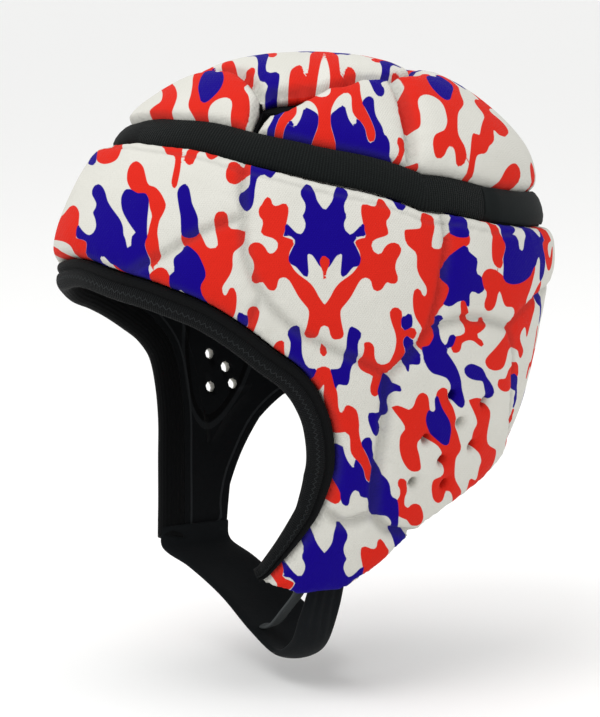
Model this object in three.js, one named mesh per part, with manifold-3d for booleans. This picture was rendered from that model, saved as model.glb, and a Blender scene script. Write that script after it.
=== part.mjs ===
// Rugby scrum cap: foam pads in soft grooves over a thin lining, open at the face and the neck,
// with a web band round the crown, a rolled face binding and a chin strap.
// Millimetres, +Z up. The face looks along -Y and the wearer's left side is +X. The origin is
// the inner crown point, where the top of the head meets the lining.

import * as THREE from 'three'
import { mergeVertices } from 'three/addons/utils/BufferGeometryUtils.js'
import Module from 'manifold-3d'

const wasm = await Module()
wasm.setup()

// Driving dimensions of the cap
const linerWidth = 156
const linerFront = 101
const linerBack = 104
const linerHeight = 203
const liningWall = 1.2

// Pads
const padThickness = 9.5
const padEdgeThickness = 4.6
const padRoll = 9
const padGap = 2.6
const slitGap = 2.4
const rimGap = 1
const padSeatClearance = 1

// Ear holes
const earHoleDiameter = 4.6
const earHoleFlare = 1.4

// Face binding
const bindingWidth = 11
const bindingThickness = 7.6
const bindingTipShare = 0.3
const seatingGap = 0.35

// Head band and its overlap
const bandWidth = 15
const bandWall = 1.6
const bandClearance = 1
const overlapWidth = 12.6
const overlapWall = 1.2
const overlapStartTurn = 118
const overlapEndTurn = 166

// Chin strap and its keeper strips
const strapDrop = 37
const strapRootWidth = 33
const strapTabWidth = 19
const strapWall = 3.5
const keeperWidth = 4.2
const keeperWall = 1.4

// Longest edges of the facets
const seamStep = 15
const fineStep = 11

const degree = Math.PI / 180

// The head form under the pads. A row for each ring from the crown down: how far down it lies,
// its half width, its front and its back, as shares of the liner's sizes, and how far its
// widest place shifts towards the back, as a share of the front.
const formRows = [
  { reach: 0.0, down: 0.0, side: 0.0, front: 0.0, back: 0.0, shift: 0.0 },
  { reach: 0.2, down: 0.02, side: 0.333, front: 0.327, back: 0.346, shift: 0.04 },
  { reach: 0.4, down: 0.076, side: 0.615, front: 0.584, back: 0.635, shift: 0.05 },
  { reach: 0.6, down: 0.163, side: 0.82, front: 0.782, back: 0.846, shift: 0.04 },
  { reach: 0.8, down: 0.271, side: 0.942, front: 0.921, back: 0.962, shift: 0.02 },
  { reach: 1.0, down: 0.394, side: 1.0, front: 1.0, back: 1.0, shift: 0.0 },
  { reach: 1.25, down: 0.542, side: 0.987, front: 0.99, back: 0.94, shift: 0.0 },
  { reach: 1.5, down: 0.695, side: 0.91, front: 0.95, back: 0.865, shift: -0.03 },
  { reach: 1.75, down: 0.847, side: 0.795, front: 0.911, back: 0.72, shift: -0.08 },
  { reach: 2.0, down: 1.0, side: 0.641, front: 0.871, back: 0.538, shift: -0.139 }
]
const formColumns = ['down', 'side', 'front', 'back', 'shift']

// Where seams meet on the wearer's left: the turn from the face in degrees and the reach from
// the crown. The wearer's right is the mirror image, apart from the rows and seams whose names
// end in Right: the strap is sewn to that side, and its lobe is narrower and cut away behind.
const seamNodes = {
  crownFront: { turn: 0, reach: 0.2 },
  crownBack: { turn: 180, reach: 0.28 },
  slitTop: { turn: 44.2, reach: 0.357 },
  ventEnd: { turn: 67, reach: 0.306 },
  crownRear: { turn: 111, reach: 0.27 },
  bandFront: { turn: 0, reach: 0.505 },
  bandSlit: { turn: 44.5, reach: 0.55 },
  bandRear: { turn: 90.3, reach: 0.699 },
  bandTemple: { turn: 97.5, reach: 0.727 },
  bandBack: { turn: 180, reach: 0.87 },
  browFront: { turn: 0, reach: 0.935 },
  browCorner: { turn: 21, reach: 0.967 },
  creaseTop: { turn: 48.6, reach: 0.79 },
  cheekTop: { turn: 51, reach: 1.116 },
  templeFoot: { turn: 54.6, reach: 1.015 },
  earFront: { turn: 83.3, reach: 1.284 },
  earTop: { turn: 93, reach: 1.14 },
  napeTop: { turn: 119, reach: 1.165 },
  napeMid: { turn: 180, reach: 1.05 },
  napeCorner: { turn: 147, reach: 1.64 },
  napeFoot: { turn: 180, reach: 1.58 },
  cheekFoot: { turn: 74.3, reach: 1.72 },
  jawRoot: { turn: 89, reach: 1.745 },
  jawBack: { turn: 107.5, reach: 1.835 },
  jawHeel: { turn: 88.2, reach: 2.015 },
  jawTip: { turn: 61.2, reach: 1.965 },
  cheekTopRight: { turn: 51, reach: 1.075 },
  templeFootRight: { turn: 55, reach: 0.975 },
  earFrontRight: { turn: 83.5, reach: 1.2 },
  earTopRight: { turn: 93, reach: 1.1 },
  cheekFootRight: { turn: 80, reach: 1.72 },
  jawRootRight: { turn: 88.5, reach: 1.7 },
  jawBackRight: { turn: 99.5, reach: 1.735 },
  jawHeelRight: { turn: 94.8, reach: 1.965 },
  jawTipRight: { turn: 77.5, reach: 1.99 },
  napeCornerRight: { turn: 135, reach: 1.575 }
}

// The seams between those nodes, each with the points that it passes through, as turn and reach
const seams = [
  { from: 'bandFront', to: 'bandSlit', kind: 'band', through: [[15, 0.507], [30, 0.515]] },
  { from: 'bandSlit', to: 'bandRear', kind: 'band', through: [[57.7, 0.587], [71.1, 0.628]] },
  { from: 'bandRear', to: 'bandTemple', kind: 'band', through: [] },
  { from: 'bandTemple', to: 'bandBack', kind: 'band', through: [[117, 0.79], [137, 0.834], [160, 0.862]] },
  { from: 'slitTop', to: 'bandSlit', kind: 'slit', through: [[44.3, 0.412], [44.4, 0.469]] },
  { from: 'slitTop', to: 'crownFront', kind: 'slit', through: [[39.1, 0.306], [32.3, 0.262], [13.8, 0.206]] },
  { from: 'slitTop', to: 'ventEnd', kind: 'slit', through: [[55.6, 0.37]] },
  { from: 'ventEnd', to: 'bandSlit', kind: 'slit', through: [[55.7, 0.38], [50.7, 0.407], [47, 0.429]] },
  { from: 'ventEnd', to: 'crownRear', kind: 'slit', through: [[80.4, 0.287], [90.2, 0.255]] },
  { from: 'crownRear', to: 'bandRear', kind: 'groove', through: [[97.5, 0.432], [92.4, 0.58]] },
  { from: 'crownRear', to: 'crownBack', kind: 'groove', through: [[140, 0.275]] },
  { from: 'bandSlit', to: 'creaseTop', kind: 'groove', through: [[46.5, 0.68]] },
  { from: 'creaseTop', to: 'templeFoot', kind: 'groove', through: [[48.7, 0.82], [50, 0.891], [52.2, 0.959]] },
  { from: 'browCorner', to: 'creaseTop', kind: 'groove', through: [[30.9, 0.9], [38.6, 0.838]] },
  { from: 'browFront', to: 'browCorner', kind: 'rim', through: [[12, 0.95]] },
  { from: 'browCorner', to: 'cheekTop', kind: 'rim', through: [[32.5, 0.999], [41.7, 1.04]] },
  {
    from: 'cheekTop', to: 'cheekFoot', kind: 'rim',
    through: [[57.8, 1.192], [64.5, 1.265], [68.9, 1.342], [72.7, 1.447], [75.3, 1.595]]
  },
  { from: 'cheekFoot', to: 'jawTip', kind: 'rim', through: [[72.5, 1.783], [68.5, 1.868], [63.9, 1.943]] },
  {
    from: 'cheekTopRight', to: 'cheekFootRight', kind: 'rim',
    through: [[59, 1.12], [66, 1.175], [73, 1.245], [78, 1.34], [80, 1.46], [80.6, 1.6]]
  },
  { from: 'cheekFootRight', to: 'jawTipRight', kind: 'rim', through: [[79, 1.86]] },
  { from: 'jawTip', to: 'jawHeel', kind: 'rim', through: [[64.5, 1.99], [71.3, 2.009], [77, 2.018]] },
  { from: 'jawTipRight', to: 'jawHeelRight', kind: 'rim', through: [[86, 1.99]] },
  { from: 'jawHeel', to: 'jawBack', kind: 'rim', through: [[94.8, 1.973], [100.3, 1.928]] },
  { from: 'jawHeelRight', to: 'jawBackRight', kind: 'rim', through: [[95.1, 1.888], [97, 1.8]] },
  { from: 'jawBack', to: 'napeCorner', kind: 'rim', through: [[120.3, 1.753], [132.8, 1.702]] },
  {
    from: 'jawBackRight', to: 'napeCornerRight', kind: 'rim',
    through: [[103, 1.649], [106.4, 1.593], [114, 1.52], [124, 1.51]]
  },
  { from: 'napeCorner', to: 'napeFoot', kind: 'rim', through: [[162, 1.6]] },
  { from: 'napeCornerRight', to: 'napeFootRight', kind: 'rim', through: [[148, 1.63], [164, 1.6]] },
  { from: 'cheekTop', to: 'templeFoot', kind: 'groove', through: [] },
  { from: 'templeFoot', to: 'earFront', kind: 'groove', through: [[59.6, 1.091], [65, 1.147], [72.8, 1.204]] },
  {
    from: 'templeFootRight', to: 'earFrontRight', kind: 'groove',
    through: [[60, 1.035], [66, 1.085], [74, 1.14]]
  },
  { from: 'earTop', to: 'earFront', kind: 'groove', through: [[88.2, 1.219]] },
  { from: 'bandTemple', to: 'earTop', kind: 'groove', through: [[98, 0.867], [96.7, 0.952], [95.3, 1.041]] },
  { from: 'earTop', to: 'napeTop', kind: 'groove', through: [[104, 1.115], [112, 1.138]] },
  { from: 'napeTop', to: 'napeMid', kind: 'groove', through: [[131.6, 1.09], [150, 1.06]] },
  {
    from: 'napeTop', to: 'napeCorner', kind: 'groove',
    through: [[124, 1.25], [127.5, 1.361], [134, 1.487]]
  },
  {
    from: 'napeTopRight', to: 'napeCornerRight', kind: 'groove',
    through: [[123, 1.25], [126, 1.37], [130, 1.48]]
  },
  { from: 'earFront', to: 'jawRoot', kind: 'groove', through: [[85, 1.479], [86, 1.613]] },
  { from: 'earFrontRight', to: 'jawRootRight', kind: 'groove', through: [[85, 1.35], [85.5, 1.52]] },
  { from: 'cheekFoot', to: 'jawRoot', kind: 'groove', through: [[81.1, 1.765]] },
  { from: 'cheekFootRight', to: 'jawRootRight', kind: 'groove', through: [] },
  { from: 'jawRoot', to: 'jawBack', kind: 'groove', through: [[94.4, 1.795], [100, 1.815]] },
  { from: 'jawRootRight', to: 'jawBackRight', kind: 'groove', through: [] }
]

const sideGaps = { band: bandWidth / 2 - 1, groove: padGap / 2, slit: slitGap / 2, rim: rimGap }

// The pads. Each has four sides, every side a path over the nodes, the facets along and across,
// and its fullness as a share of the pad thickness.
const centrePads = [
  {
    name: 'forehead_pad', along: 12, across: 7, fullness: 1,
    sides: [
      'bandSlitRight bandFront bandSlit',
      'bandSlit creaseTop',
      'creaseTop browCorner browFront browCornerRight creaseTopRight',
      'creaseTopRight bandSlitRight'
    ]
  },
  {
    name: 'occiput_pad', along: 16, across: 7, fullness: 1.05,
    sides: [
      'bandTemple bandBack bandTempleRight',
      'bandTempleRight earTopRight',
      'earTopRight napeTopRight napeMid napeTop earTop',
      'earTop bandTemple'
    ]
  },
  {
    name: 'nape_pad', along: 14, across: 7, fullness: 1,
    sides: [
      'napeTop napeMid napeTopRight',
      'napeTopRight napeCornerRight',
      'napeCornerRight napeFoot napeCorner',
      'napeCorner napeTop'
    ]
  },
  {
    name: 'crown_front_pad', along: 9, across: 6, fullness: 0.95,
    sides: [
      'slitTopRight crownFront slitTop',
      'slitTop bandSlit',
      'bandSlit bandFront bandSlitRight',
      'bandSlitRight slitTopRight'
    ]
  },
  {
    name: 'crown_top_pad', along: 8, across: 8, fullness: 1,
    sides: [
      'slitTopRight crownFront slitTop',
      'slitTop ventEnd crownRear',
      'crownRear crownBack crownRearRight',
      'crownRearRight ventEndRight slitTopRight'
    ]
  },
  {
    name: 'crown_rear_pad', along: 15, across: 8, fullness: 1.25,
    sides: [
      'crownRearRight crownBack crownRear',
      'crownRear bandRear',
      'bandRear bandTemple bandBack bandTempleRight bandRearRight',
      'bandRearRight crownRearRight'
    ]
  }
]
const pairedPads = [
  {
    name: 'brow_side_pad', along: 5, across: 5, fullness: 0.9,
    sides: ['creaseTop templeFoot', 'templeFoot cheekTop', 'cheekTop browCorner', 'browCorner creaseTop']
  },
  {
    name: 'temple_pad', along: 8, across: 8, fullness: 1,
    sides: [
      'bandSlit bandRear bandTemple',
      'bandTemple earTop earFront',
      'earFront templeFoot',
      'templeFoot creaseTop bandSlit'
    ]
  },
  {
    name: 'cheek_pad', along: 4, across: 11, fullness: 0.85,
    sides: ['cheekTop templeFoot', 'templeFoot earFront jawRoot', 'jawRoot cheekFoot', 'cheekFoot cheekTop']
  },
  {
    name: 'ear_pad', along: 8, across: 9, fullness: 1, holes: true,
    sides: ['earTop napeTop', 'napeTop napeCorner', 'napeCorner jawBack jawRoot', 'jawRoot earFront earTop']
  },
  {
    name: 'jaw_pad', along: 7, across: 5, fullness: 0.95,
    sides: ['cheekFoot jawRoot jawBack', 'jawBack jawHeel', 'jawHeel jawTip', 'jawTip cheekFoot']
  },
  {
    name: 'crown_side_pad', along: 8, across: 5, fullness: 1,
    sides: ['ventEnd crownRear', 'crownRear bandRear', 'bandRear bandSlit', 'bandSlit ventEnd']
  }
]

// The ear holes on the wearer's left and right
const earHoles = [
  { turn: 102.2, reach: 1.361, turnRight: 91, reachRight: 1.25 },
  { turn: 114.5, reach: 1.401, turnRight: 100, reachRight: 1.26 },
  { turn: 107.4, reach: 1.457, turnRight: 95.5, reachRight: 1.315 },
  { turn: 97.4, reach: 1.498, turnRight: 89.5, reachRight: 1.375 },
  { turn: 115.1, reach: 1.545, turnRight: 99.5, reachRight: 1.385 },
  { turn: 105.1, reach: 1.579, turnRight: 94.3, reachRight: 1.425 },
  { turn: 97.6, reach: 1.641, turnRight: 89.5, reachRight: 1.49 },
  { turn: 109.6, reach: 1.664, turnRight: 96.5, reachRight: 1.485 }
]

// The binding's section: how far it reaches out from the rim and how far it rises from the
// lining's inner face, as shares of its width and thickness
const bindingSection = [
  { out: 0.0, rise: 0.0 },
  { out: 0.55, rise: -0.02 },
  { out: 0.9, rise: 0.12 },
  { out: 1.0, rise: 0.4 },
  { out: 0.95, rise: 0.7 },
  { out: 0.72, rise: 0.94 },
  { out: 0.4, rise: 1.0 },
  { out: 0.0, rise: 0.84 }
]

// The chin strap from the right jaw to the tab inside the left one: across as a share of the
// half width between the jaws, drop as a share of the strap's drop below them, width between
// the tab's and the root's, and its middle as a share of the liner's front
const strapRows = [
  { across: -0.985, drop: 0.035, width: 1.0, middle: 0.232 },
  { across: -0.745, drop: 0.22, width: 0.9, middle: 0.19 },
  { across: -0.373, drop: 0.5, width: 0.6, middle: 0.165 },
  { across: 0.04, drop: 0.84, width: 0.3, middle: 0.155 },
  { across: 0.414, drop: 1.0, width: 0.1, middle: 0.158 },
  { across: 0.745, drop: 0.84, width: 0.0, middle: 0.175 },
  { across: 0.9, drop: 0.5, width: 0.0, middle: 0.185 },
  { across: 0.91, drop: 0.17, width: -0.25, middle: 0.135 },
  { across: 0.972, drop: -0.1, width: -0.3, middle: 0.14 },
  { across: 1.025, drop: -0.3, width: -0.3, middle: 0.145 }
]

// The keeper strips bridge the strap's loop: along the strap, across it and how far they stand
// off its inner face, as shares of its length, its width and the strap's drop
const keeperRows = {
  keeper_strip_front: [
    { along: 0.35, across: 0.15, lift: 0.005 },
    { along: 0.45, across: 0.0, lift: 0.2 },
    { along: 0.6, across: -0.12, lift: 0.24 },
    { along: 0.74, across: -0.12, lift: 0.15 },
    { along: 0.84, across: -0.1, lift: 0.005 }
  ],
  keeper_strip_rear: [
    { along: 0.64, across: 0.45, lift: 0.005 },
    { along: 0.69, across: 0.34, lift: 0.07 },
    { along: 0.74, across: 0.34, lift: 0.07 },
    { along: 0.8, across: 0.55, lift: 0.005 }
  ]
}

// Chart and surface
// A chart point is (reach * sin turn, -reach * cos turn), so the crown is a plain point on it.
function chartPoint(turn, reach) {
  return new THREE.Vector2(reach * Math.sin(turn * degree), -reach * Math.cos(turn * degree))
}

function rowSlope(index, column) {
  const before = formRows[Math.max(index - 1, 0)]
  const after = formRows[Math.min(index + 1, formRows.length - 1)]
  if (index === 0 && column === 'down') return 0
  return (after[column] - before[column]) / (after.reach - before.reach)
}

function formAt(reach) {
  const last = formRows.length - 2
  const index = Math.max(0, Math.min(last, formRows.findIndex((row) => row.reach > reach) - 1))
  const i = reach >= formRows[last + 1].reach ? last : index
  const span = formRows[i + 1].reach - formRows[i].reach
  const t = (reach - formRows[i].reach) / span
  const ring = {}
  for (const column of formColumns) {
    ring[column] = (2 * t ** 3 - 3 * t ** 2 + 1) * formRows[i][column]
      + (t ** 3 - 2 * t ** 2 + t) * span * rowSlope(i, column)
      + (3 * t ** 2 - 2 * t ** 3) * formRows[i + 1][column]
      + (t ** 3 - t ** 2) * span * rowSlope(i + 1, column)
  }
  return ring
}

function formPoint(chart) {
  const ring = formAt(chart.length())
  const turn = Math.atan2(chart.x, -chart.y)
  const middle = ring.shift * linerFront
  const front = ring.front * linerFront + middle
  const back = ring.back * linerBack - middle
  const depth = Math.cos(turn) > 0 ? front : back
  return new THREE.Vector3(
    ring.side * linerWidth / 2 * Math.sin(turn),
    middle - depth * Math.cos(turn),
    liningWall - ring.down * linerHeight
  )
}

function formNormal(chart) {
  const small = 0.002
  const east = formPoint(chart.clone().add(new THREE.Vector2(small, 0)))
  const west = formPoint(chart.clone().add(new THREE.Vector2(-small, 0)))
  const north = formPoint(chart.clone().add(new THREE.Vector2(0, small)))
  const south = formPoint(chart.clone().add(new THREE.Vector2(0, -small)))
  return east.sub(west).cross(north.sub(south)).normalize()
}

function surfacePoint(chart, lift) {
  return formPoint(chart).addScaledVector(formNormal(chart), lift)
}

// Seams
function nodeChart(name) {
  const mirrored = name.endsWith('Right')
  const node = seamNodes[name] ?? seamNodes[name.replace('Right', '')]
  return chartPoint(mirrored ? -node.turn : node.turn, node.reach)
}

function isRight(from, to) {
  return from.endsWith('Right') || to.endsWith('Right')
}

// The seam between two nodes: on the right its own row where it has one, else the left one's
function findSeam(from, to) {
  const plain = (name) => name.replace('Right', '')
  const rows = seams.filter((seam) => plain(seam.from) === plain(from) && plain(seam.to) === plain(to))
  const common = rows.find((seam) => !isRight(seam.from, seam.to))
  const own = rows.find((seam) => isRight(seam.from, seam.to))
  return isRight(from, to) ? own ?? common : common
}

function seamBetween(from, to) {
  const forward = findSeam(from, to)
  const seam = forward ?? findSeam(to, from)
  const side = isRight(from, to) ? -1 : 1
  const inner = seam.through.map(([turn, reach]) => chartPoint(side * turn, reach))
  if (!forward) inner.reverse()
  const charts = [nodeChart(from), ...inner, nodeChart(to)]
  const flat = charts.map((chart) => new THREE.Vector3(chart.x, chart.y, 0))
  const curve = new THREE.CatmullRomCurve3(flat, false, 'centripetal')
  const fine = curve.getSpacedPoints(16).map((p) => new THREE.Vector2(p.x, p.y))
  return { kind: seam.kind, curve, fine }
}

function pathSeams(path) {
  const names = path.split(' ')
  return names.slice(1).map((name, i) => seamBetween(names[i], name))
}

function lengthOf(charts) {
  let total = 0
  for (let i = 1; i < charts.length; i++) {
    total += formPoint(charts[i]).distanceTo(formPoint(charts[i - 1]))
  }
  return total
}

function seamSamples(path, step) {
  const charts = []
  for (const seam of pathSeams(path)) {
    const count = Math.max(1, Math.round(lengthOf(seam.fine) / step))
    const points = seam.curve.getSpacedPoints(count).map((p) => new THREE.Vector2(p.x, p.y))
    charts.push(...points.slice(charts.length ? 1 : 0))
  }
  return charts
}

// A side as a curve that is read by the share of its length
function sideCurve(path) {
  const charts = []
  for (const seam of pathSeams(path)) charts.push(...seam.fine.slice(charts.length ? 1 : 0))
  const marks = [0]
  for (let i = 1; i < charts.length; i++) {
    marks.push(marks[i - 1] + charts[i].distanceTo(charts[i - 1]))
  }
  const total = marks[marks.length - 1]
  const at = (share) => {
    const goal = Math.min(Math.max(share, 0), 1) * total
    let i = 1
    while (i < marks.length - 1 && marks[i] < goal) i++
    return charts[i - 1].clone().lerp(charts[i], (goal - marks[i - 1]) / (marks[i] - marks[i - 1]))
  }
  return { at, kind: pathSeams(path)[0].kind }
}

// A four-sided patch of the chart, filled between its sides
function makePatch(paths) {
  const [top, right, bottom, left] = paths.map(sideCurve)
  const at = (u, v) => {
    const point = top.at(u).multiplyScalar(1 - v)
    point.addScaledVector(bottom.at(1 - u), v)
    point.addScaledVector(left.at(1 - v), 1 - u)
    point.addScaledVector(right.at(v), u)
    point.addScaledVector(top.at(0), -(1 - u) * (1 - v))
    point.addScaledVector(top.at(1), -u * (1 - v))
    point.addScaledVector(bottom.at(0), -u * v)
    point.addScaledVector(bottom.at(1), -(1 - u) * v)
    return point
  }
  const sides = [top, right, bottom, left]
  const outline = sides.flatMap((side) => [0, 0.25, 0.5, 0.75].map((t) => side.at(t)))
  const clockwise = THREE.ShapeUtils.area(outline) < 0
  const gaps = sides.map((side) => sideGaps[side.kind])
  return { paths, at, clockwise, gaps }
}

function lineLength(pointAt) {
  const charts = Array.from({ length: 13 }, (_, i) => pointAt(i / 12))
  return lengthOf(charts)
}

// Stations across a pad, in millimetres from one edge: close together on the rolled edges
function stations(count, width) {
  const edge = count > 5 ? [0, 0.22 * padRoll, 0.75 * padRoll] : [0, 0.35 * padRoll]
  const limit = 0.45 * width / edge[edge.length - 1]
  const steps = edge.map((step) => step * Math.min(1, limit))
  const inner = count - 2 * (steps.length - 1)
  const start = steps[steps.length - 1]
  const spread = (i) => start + (width - 2 * start) * i / inner
  const middle = Array.from({ length: inner - 1 }, (_, i) => spread(i + 1))
  return [...steps, ...middle, ...steps.map((step) => width - step).reverse()]
}

function rollShare(distance) {
  const share = Math.min(Math.max(distance, 0) / padRoll, 1)
  return Math.sqrt(1 - (1 - share) ** 2)
}

// Closed bodies from grids and sweeps
function closedBody(positions, indices) {
  const geometry = new THREE.BufferGeometry()
  const numbers = positions.flatMap((point) => [point.x, point.y, point.z])
  geometry.setAttribute('position', new THREE.Float32BufferAttribute(numbers, 3))
  geometry.setIndex(indices)
  return geometry
}

function padGeometry(pad) {
  const patch = makePatch(pad.sides)
  const { along, across } = pad
  const charts = []
  const heights = []
  const widths = Array.from({ length: across + 1 }, (_, j) => lineLength((t) => patch.at(t, j / across)))
  const depths = Array.from({ length: along + 1 }, (_, i) => lineLength((t) => patch.at(i / along, t)))
  const [gapTop, gapRight, gapBottom, gapLeft] = patch.gaps
  for (let i = 0; i <= along; i++) {
    for (let j = 0; j <= across; j++) {
      const width = Math.max(widths[j], 1.6 * (gapLeft + gapRight))
      const depth = Math.max(depths[i], 1.6 * (gapTop + gapBottom))
      const x = stations(along, width - gapLeft - gapRight)[i]
      const y = stations(across, depth - gapTop - gapBottom)[j]
      charts.push(patch.at((gapLeft + x) / width, (gapTop + y) / depth))
      const rollAlong = rollShare(Math.min(x, width - gapLeft - gapRight - x))
      const rollAcross = rollShare(Math.min(y, depth - gapTop - gapBottom - y))
      const full = padThickness * pad.fullness - padEdgeThickness
      heights.push(padEdgeThickness + full * rollAlong * rollAcross)
    }
  }
  const count = charts.length
  const positions = [
    ...charts.map((chart, k) => surfacePoint(chart, padSeatClearance + heights[k])),
    ...charts.map((chart) => surfacePoint(chart, padSeatClearance))
  ]
  const indices = []
  const quad = (a, b, c, d) => {
    if (patch.clockwise) indices.push(a, c, b, a, d, c)
    else indices.push(a, b, c, a, c, d)
  }
  const at = (i, j) => i * (across + 1) + j
  for (let i = 0; i < along; i++) {
    for (let j = 0; j < across; j++) {
      quad(at(i, j), at(i + 1, j), at(i + 1, j + 1), at(i, j + 1))
      quad(count + at(i, j), count + at(i, j + 1), count + at(i + 1, j + 1), count + at(i + 1, j))
    }
  }
  for (let i = 0; i < along; i++) {
    quad(count + at(i, 0), count + at(i + 1, 0), at(i + 1, 0), at(i, 0))
    quad(at(i, across), at(i + 1, across), count + at(i + 1, across), count + at(i, across))
  }
  for (let j = 0; j < across; j++) {
    quad(at(0, j), at(0, j + 1), count + at(0, j + 1), count + at(0, j))
    quad(count + at(along, j), count + at(along, j + 1), at(along, j + 1), at(along, j))
  }
  return closedBody(positions, indices)
}

// The lining: the patches of all the pads, welded along their seams, with the vents left open
function liningGeometry(patches) {
  const charts = []
  const faces = []
  const seen = new Map()
  const vertex = (chart) => {
    const key = `${Math.round(chart.x * 1e5)},${Math.round(chart.y * 1e5)}`
    if (!seen.has(key)) {
      seen.set(key, charts.length)
      charts.push(chart)
    }
    return seen.get(key)
  }
  const inset = 0.2
  for (const patch of patches) {
    const rim = patch.paths.flatMap((path, side) => {
      const samples = seamSamples(path, seamStep)
      const last = samples.length - 1
      return samples.slice(0, -1).map((chart, i) => ({ id: vertex(chart), mark: side + i / last }))
    })
    const width = lineLength((t) => patch.at(t, 0.5))
    const depth = lineLength((t) => patch.at(0.5, t))
    const along = Math.max(1, Math.round(width * (1 - 2 * inset) / seamStep))
    const across = Math.max(1, Math.round(depth * (1 - 2 * inset) / seamStep))
    const spread = (i, count) => inset + (1 - 2 * inset) * i / count
    const grid = Array.from({ length: along + 1 }, (_, i) =>
      Array.from({ length: across + 1 }, (_, j) => vertex(patch.at(spread(i, along), spread(j, across)))))
    const inner = []
    for (let i = 0; i < along; i++) inner.push({ id: grid[i][0], mark: i / along })
    for (let j = 0; j < across; j++) inner.push({ id: grid[along][j], mark: 1 + j / across })
    for (let i = 0; i < along; i++) inner.push({ id: grid[along - i][across], mark: 2 + i / along })
    for (let j = 0; j < across; j++) inner.push({ id: grid[0][across - j], mark: 3 + j / across })
    const face = (a, b, c) => faces.push(patch.clockwise ? [a, c, b] : [a, b, c])
    for (let i = 0; i < along; i++) {
      for (let j = 0; j < across; j++) {
        face(grid[i][j], grid[i + 1][j], grid[i + 1][j + 1])
        face(grid[i][j], grid[i + 1][j + 1], grid[i][j + 1])
      }
    }
    let i = 0
    let j = 0
    const markAt = (loop, k) => (k < loop.length ? loop[k].mark : 4)
    const idAt = (loop, k) => loop[k % loop.length].id
    while (i < rim.length || j < inner.length) {
      const rimIsNext = markAt(rim, i + 1) <= markAt(inner, j + 1)
      const rimFirst = j >= inner.length || (i < rim.length && rimIsNext)
      if (rimFirst) {
        face(idAt(rim, i), idAt(rim, i + 1), idAt(inner, j))
        i++
      } else {
        face(idAt(rim, i), idAt(inner, j + 1), idAt(inner, j))
        j++
      }
    }
  }
  const used = new Set(faces.flatMap(([a, b, c]) => [`${a} ${b}`, `${b} ${c}`, `${c} ${a}`]))
  const count = charts.length
  const indices = []
  for (const [a, b, c] of faces) {
    indices.push(a, b, c, count + a, count + c, count + b)
    for (const [from, to] of [[a, b], [b, c], [c, a]]) {
      if (!used.has(`${to} ${from}`)) indices.push(to, from, count + from, to, count + from, count + to)
    }
  }
  const positions = [
    ...charts.map((chart) => surfacePoint(chart, 0)),
    ...charts.map((chart) => surfacePoint(chart, -liningWall))
  ]
  return closedBody(positions, indices)
}

// A body swept through sections, each a ring of points, closed on itself or capped at its ends
function sweptBody(sections, closed) {
  const size = sections[0].length
  const indices = []
  const last = closed ? sections.length : sections.length - 1
  for (let i = 0; i < last; i++) {
    const here = i * size
    const next = (i + 1) % sections.length * size
    for (let k = 0; k < size; k++) {
      const after = (k + 1) % size
      indices.push(here + k, here + after, next + after, here + k, next + after, next + k)
    }
  }
  if (!closed) {
    const end = (sections.length - 1) * size
    for (let k = 1; k < size - 1; k++) {
      indices.push(0, k + 1, k, end, end + k, end + k + 1)
    }
  }
  return closedBody(sections.flat(), indices)
}

// Frames along a path on the surface: the point, the normal and the way out of the pads
function surfaceFrames(charts, closed) {
  const points = charts.map(formPoint)
  return charts.map((chart, i) => {
    const before = points[closed ? (i - 1 + points.length) % points.length : Math.max(i - 1, 0)]
    const after = points[closed ? (i + 1) % points.length : Math.min(i + 1, points.length - 1)]
    const normal = formNormal(chart)
    const out = normal.clone().cross(after.clone().sub(before)).normalize()
    return { point: points[i], normal, out }
  })
}

function framePoint(frame, out, lift) {
  return frame.point.clone().addScaledVector(frame.out, out).addScaledVector(frame.normal, lift)
}

function bindingGeometry() {
  const path = 'jawTip cheekFoot cheekTop browCorner browFront '
    + 'browCornerRight cheekTopRight cheekFootRight jawTipRight'
  const frames = surfaceFrames(seamSamples(path, seamStep), false)
  const taperCount = seamSamples('jawTip cheekFoot', seamStep).length - 1
  const sections = frames.map((frame, i) => {
    const taper = Math.min(1, bindingTipShare + (1 - bindingTipShare) * i / taperCount)
    return bindingSection.map(({ out, rise }) => {
      const reachOut = seatingGap + out * bindingWidth * taper
      return framePoint(frame, reachOut, rise * bindingThickness - liningWall)
    })
  })
  return sweptBody(sections, false)
}

function bandFrames(closed, fromTurn, toTurn) {
  const path = 'bandFront bandSlit bandRear bandTemple bandBack '
    + 'bandTempleRight bandRearRight bandSlitRight bandFront'
  const ring = seamSamples(path, fineStep).slice(0, -1)
  if (closed) return surfaceFrames(ring, true)
  const turnOf = (chart) => Math.atan2(chart.x, -chart.y) / degree
  const charts = ring.filter((chart) => turnOf(chart) > fromTurn && turnOf(chart) < toTurn)
  return surfaceFrames(charts, false)
}

function stripSection(frame, width, low, high) {
  const half = width / 2
  return [
    framePoint(frame, -half, low),
    framePoint(frame, half, low),
    framePoint(frame, half, high),
    framePoint(frame, -half, high)
  ]
}

// The band rests on the rolled edges of the pads on both sides of its channel
const bandSeat = padSeatClearance + padEdgeThickness + bandClearance
  + (padThickness - padEdgeThickness) * rollShare(bandWidth / 2 - sideGaps.band)

function bandGeometry() {
  const frames = bandFrames(true)
  const high = bandSeat + bandWall
  return sweptBody(frames.map((frame) => stripSection(frame, bandWidth, bandSeat, high)), true)
}

function overlapGeometry() {
  const low = bandSeat + bandWall + seatingGap
  const frames = bandFrames(false, overlapStartTurn, overlapEndTurn)
  const sections = frames.map((frame, i) => {
    const end = i === frames.length - 1 ? 0.55 : 1
    return stripSection(frame, overlapWidth * end, low, low + overlapWall)
  })
  return sweptBody(sections, false)
}

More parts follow.
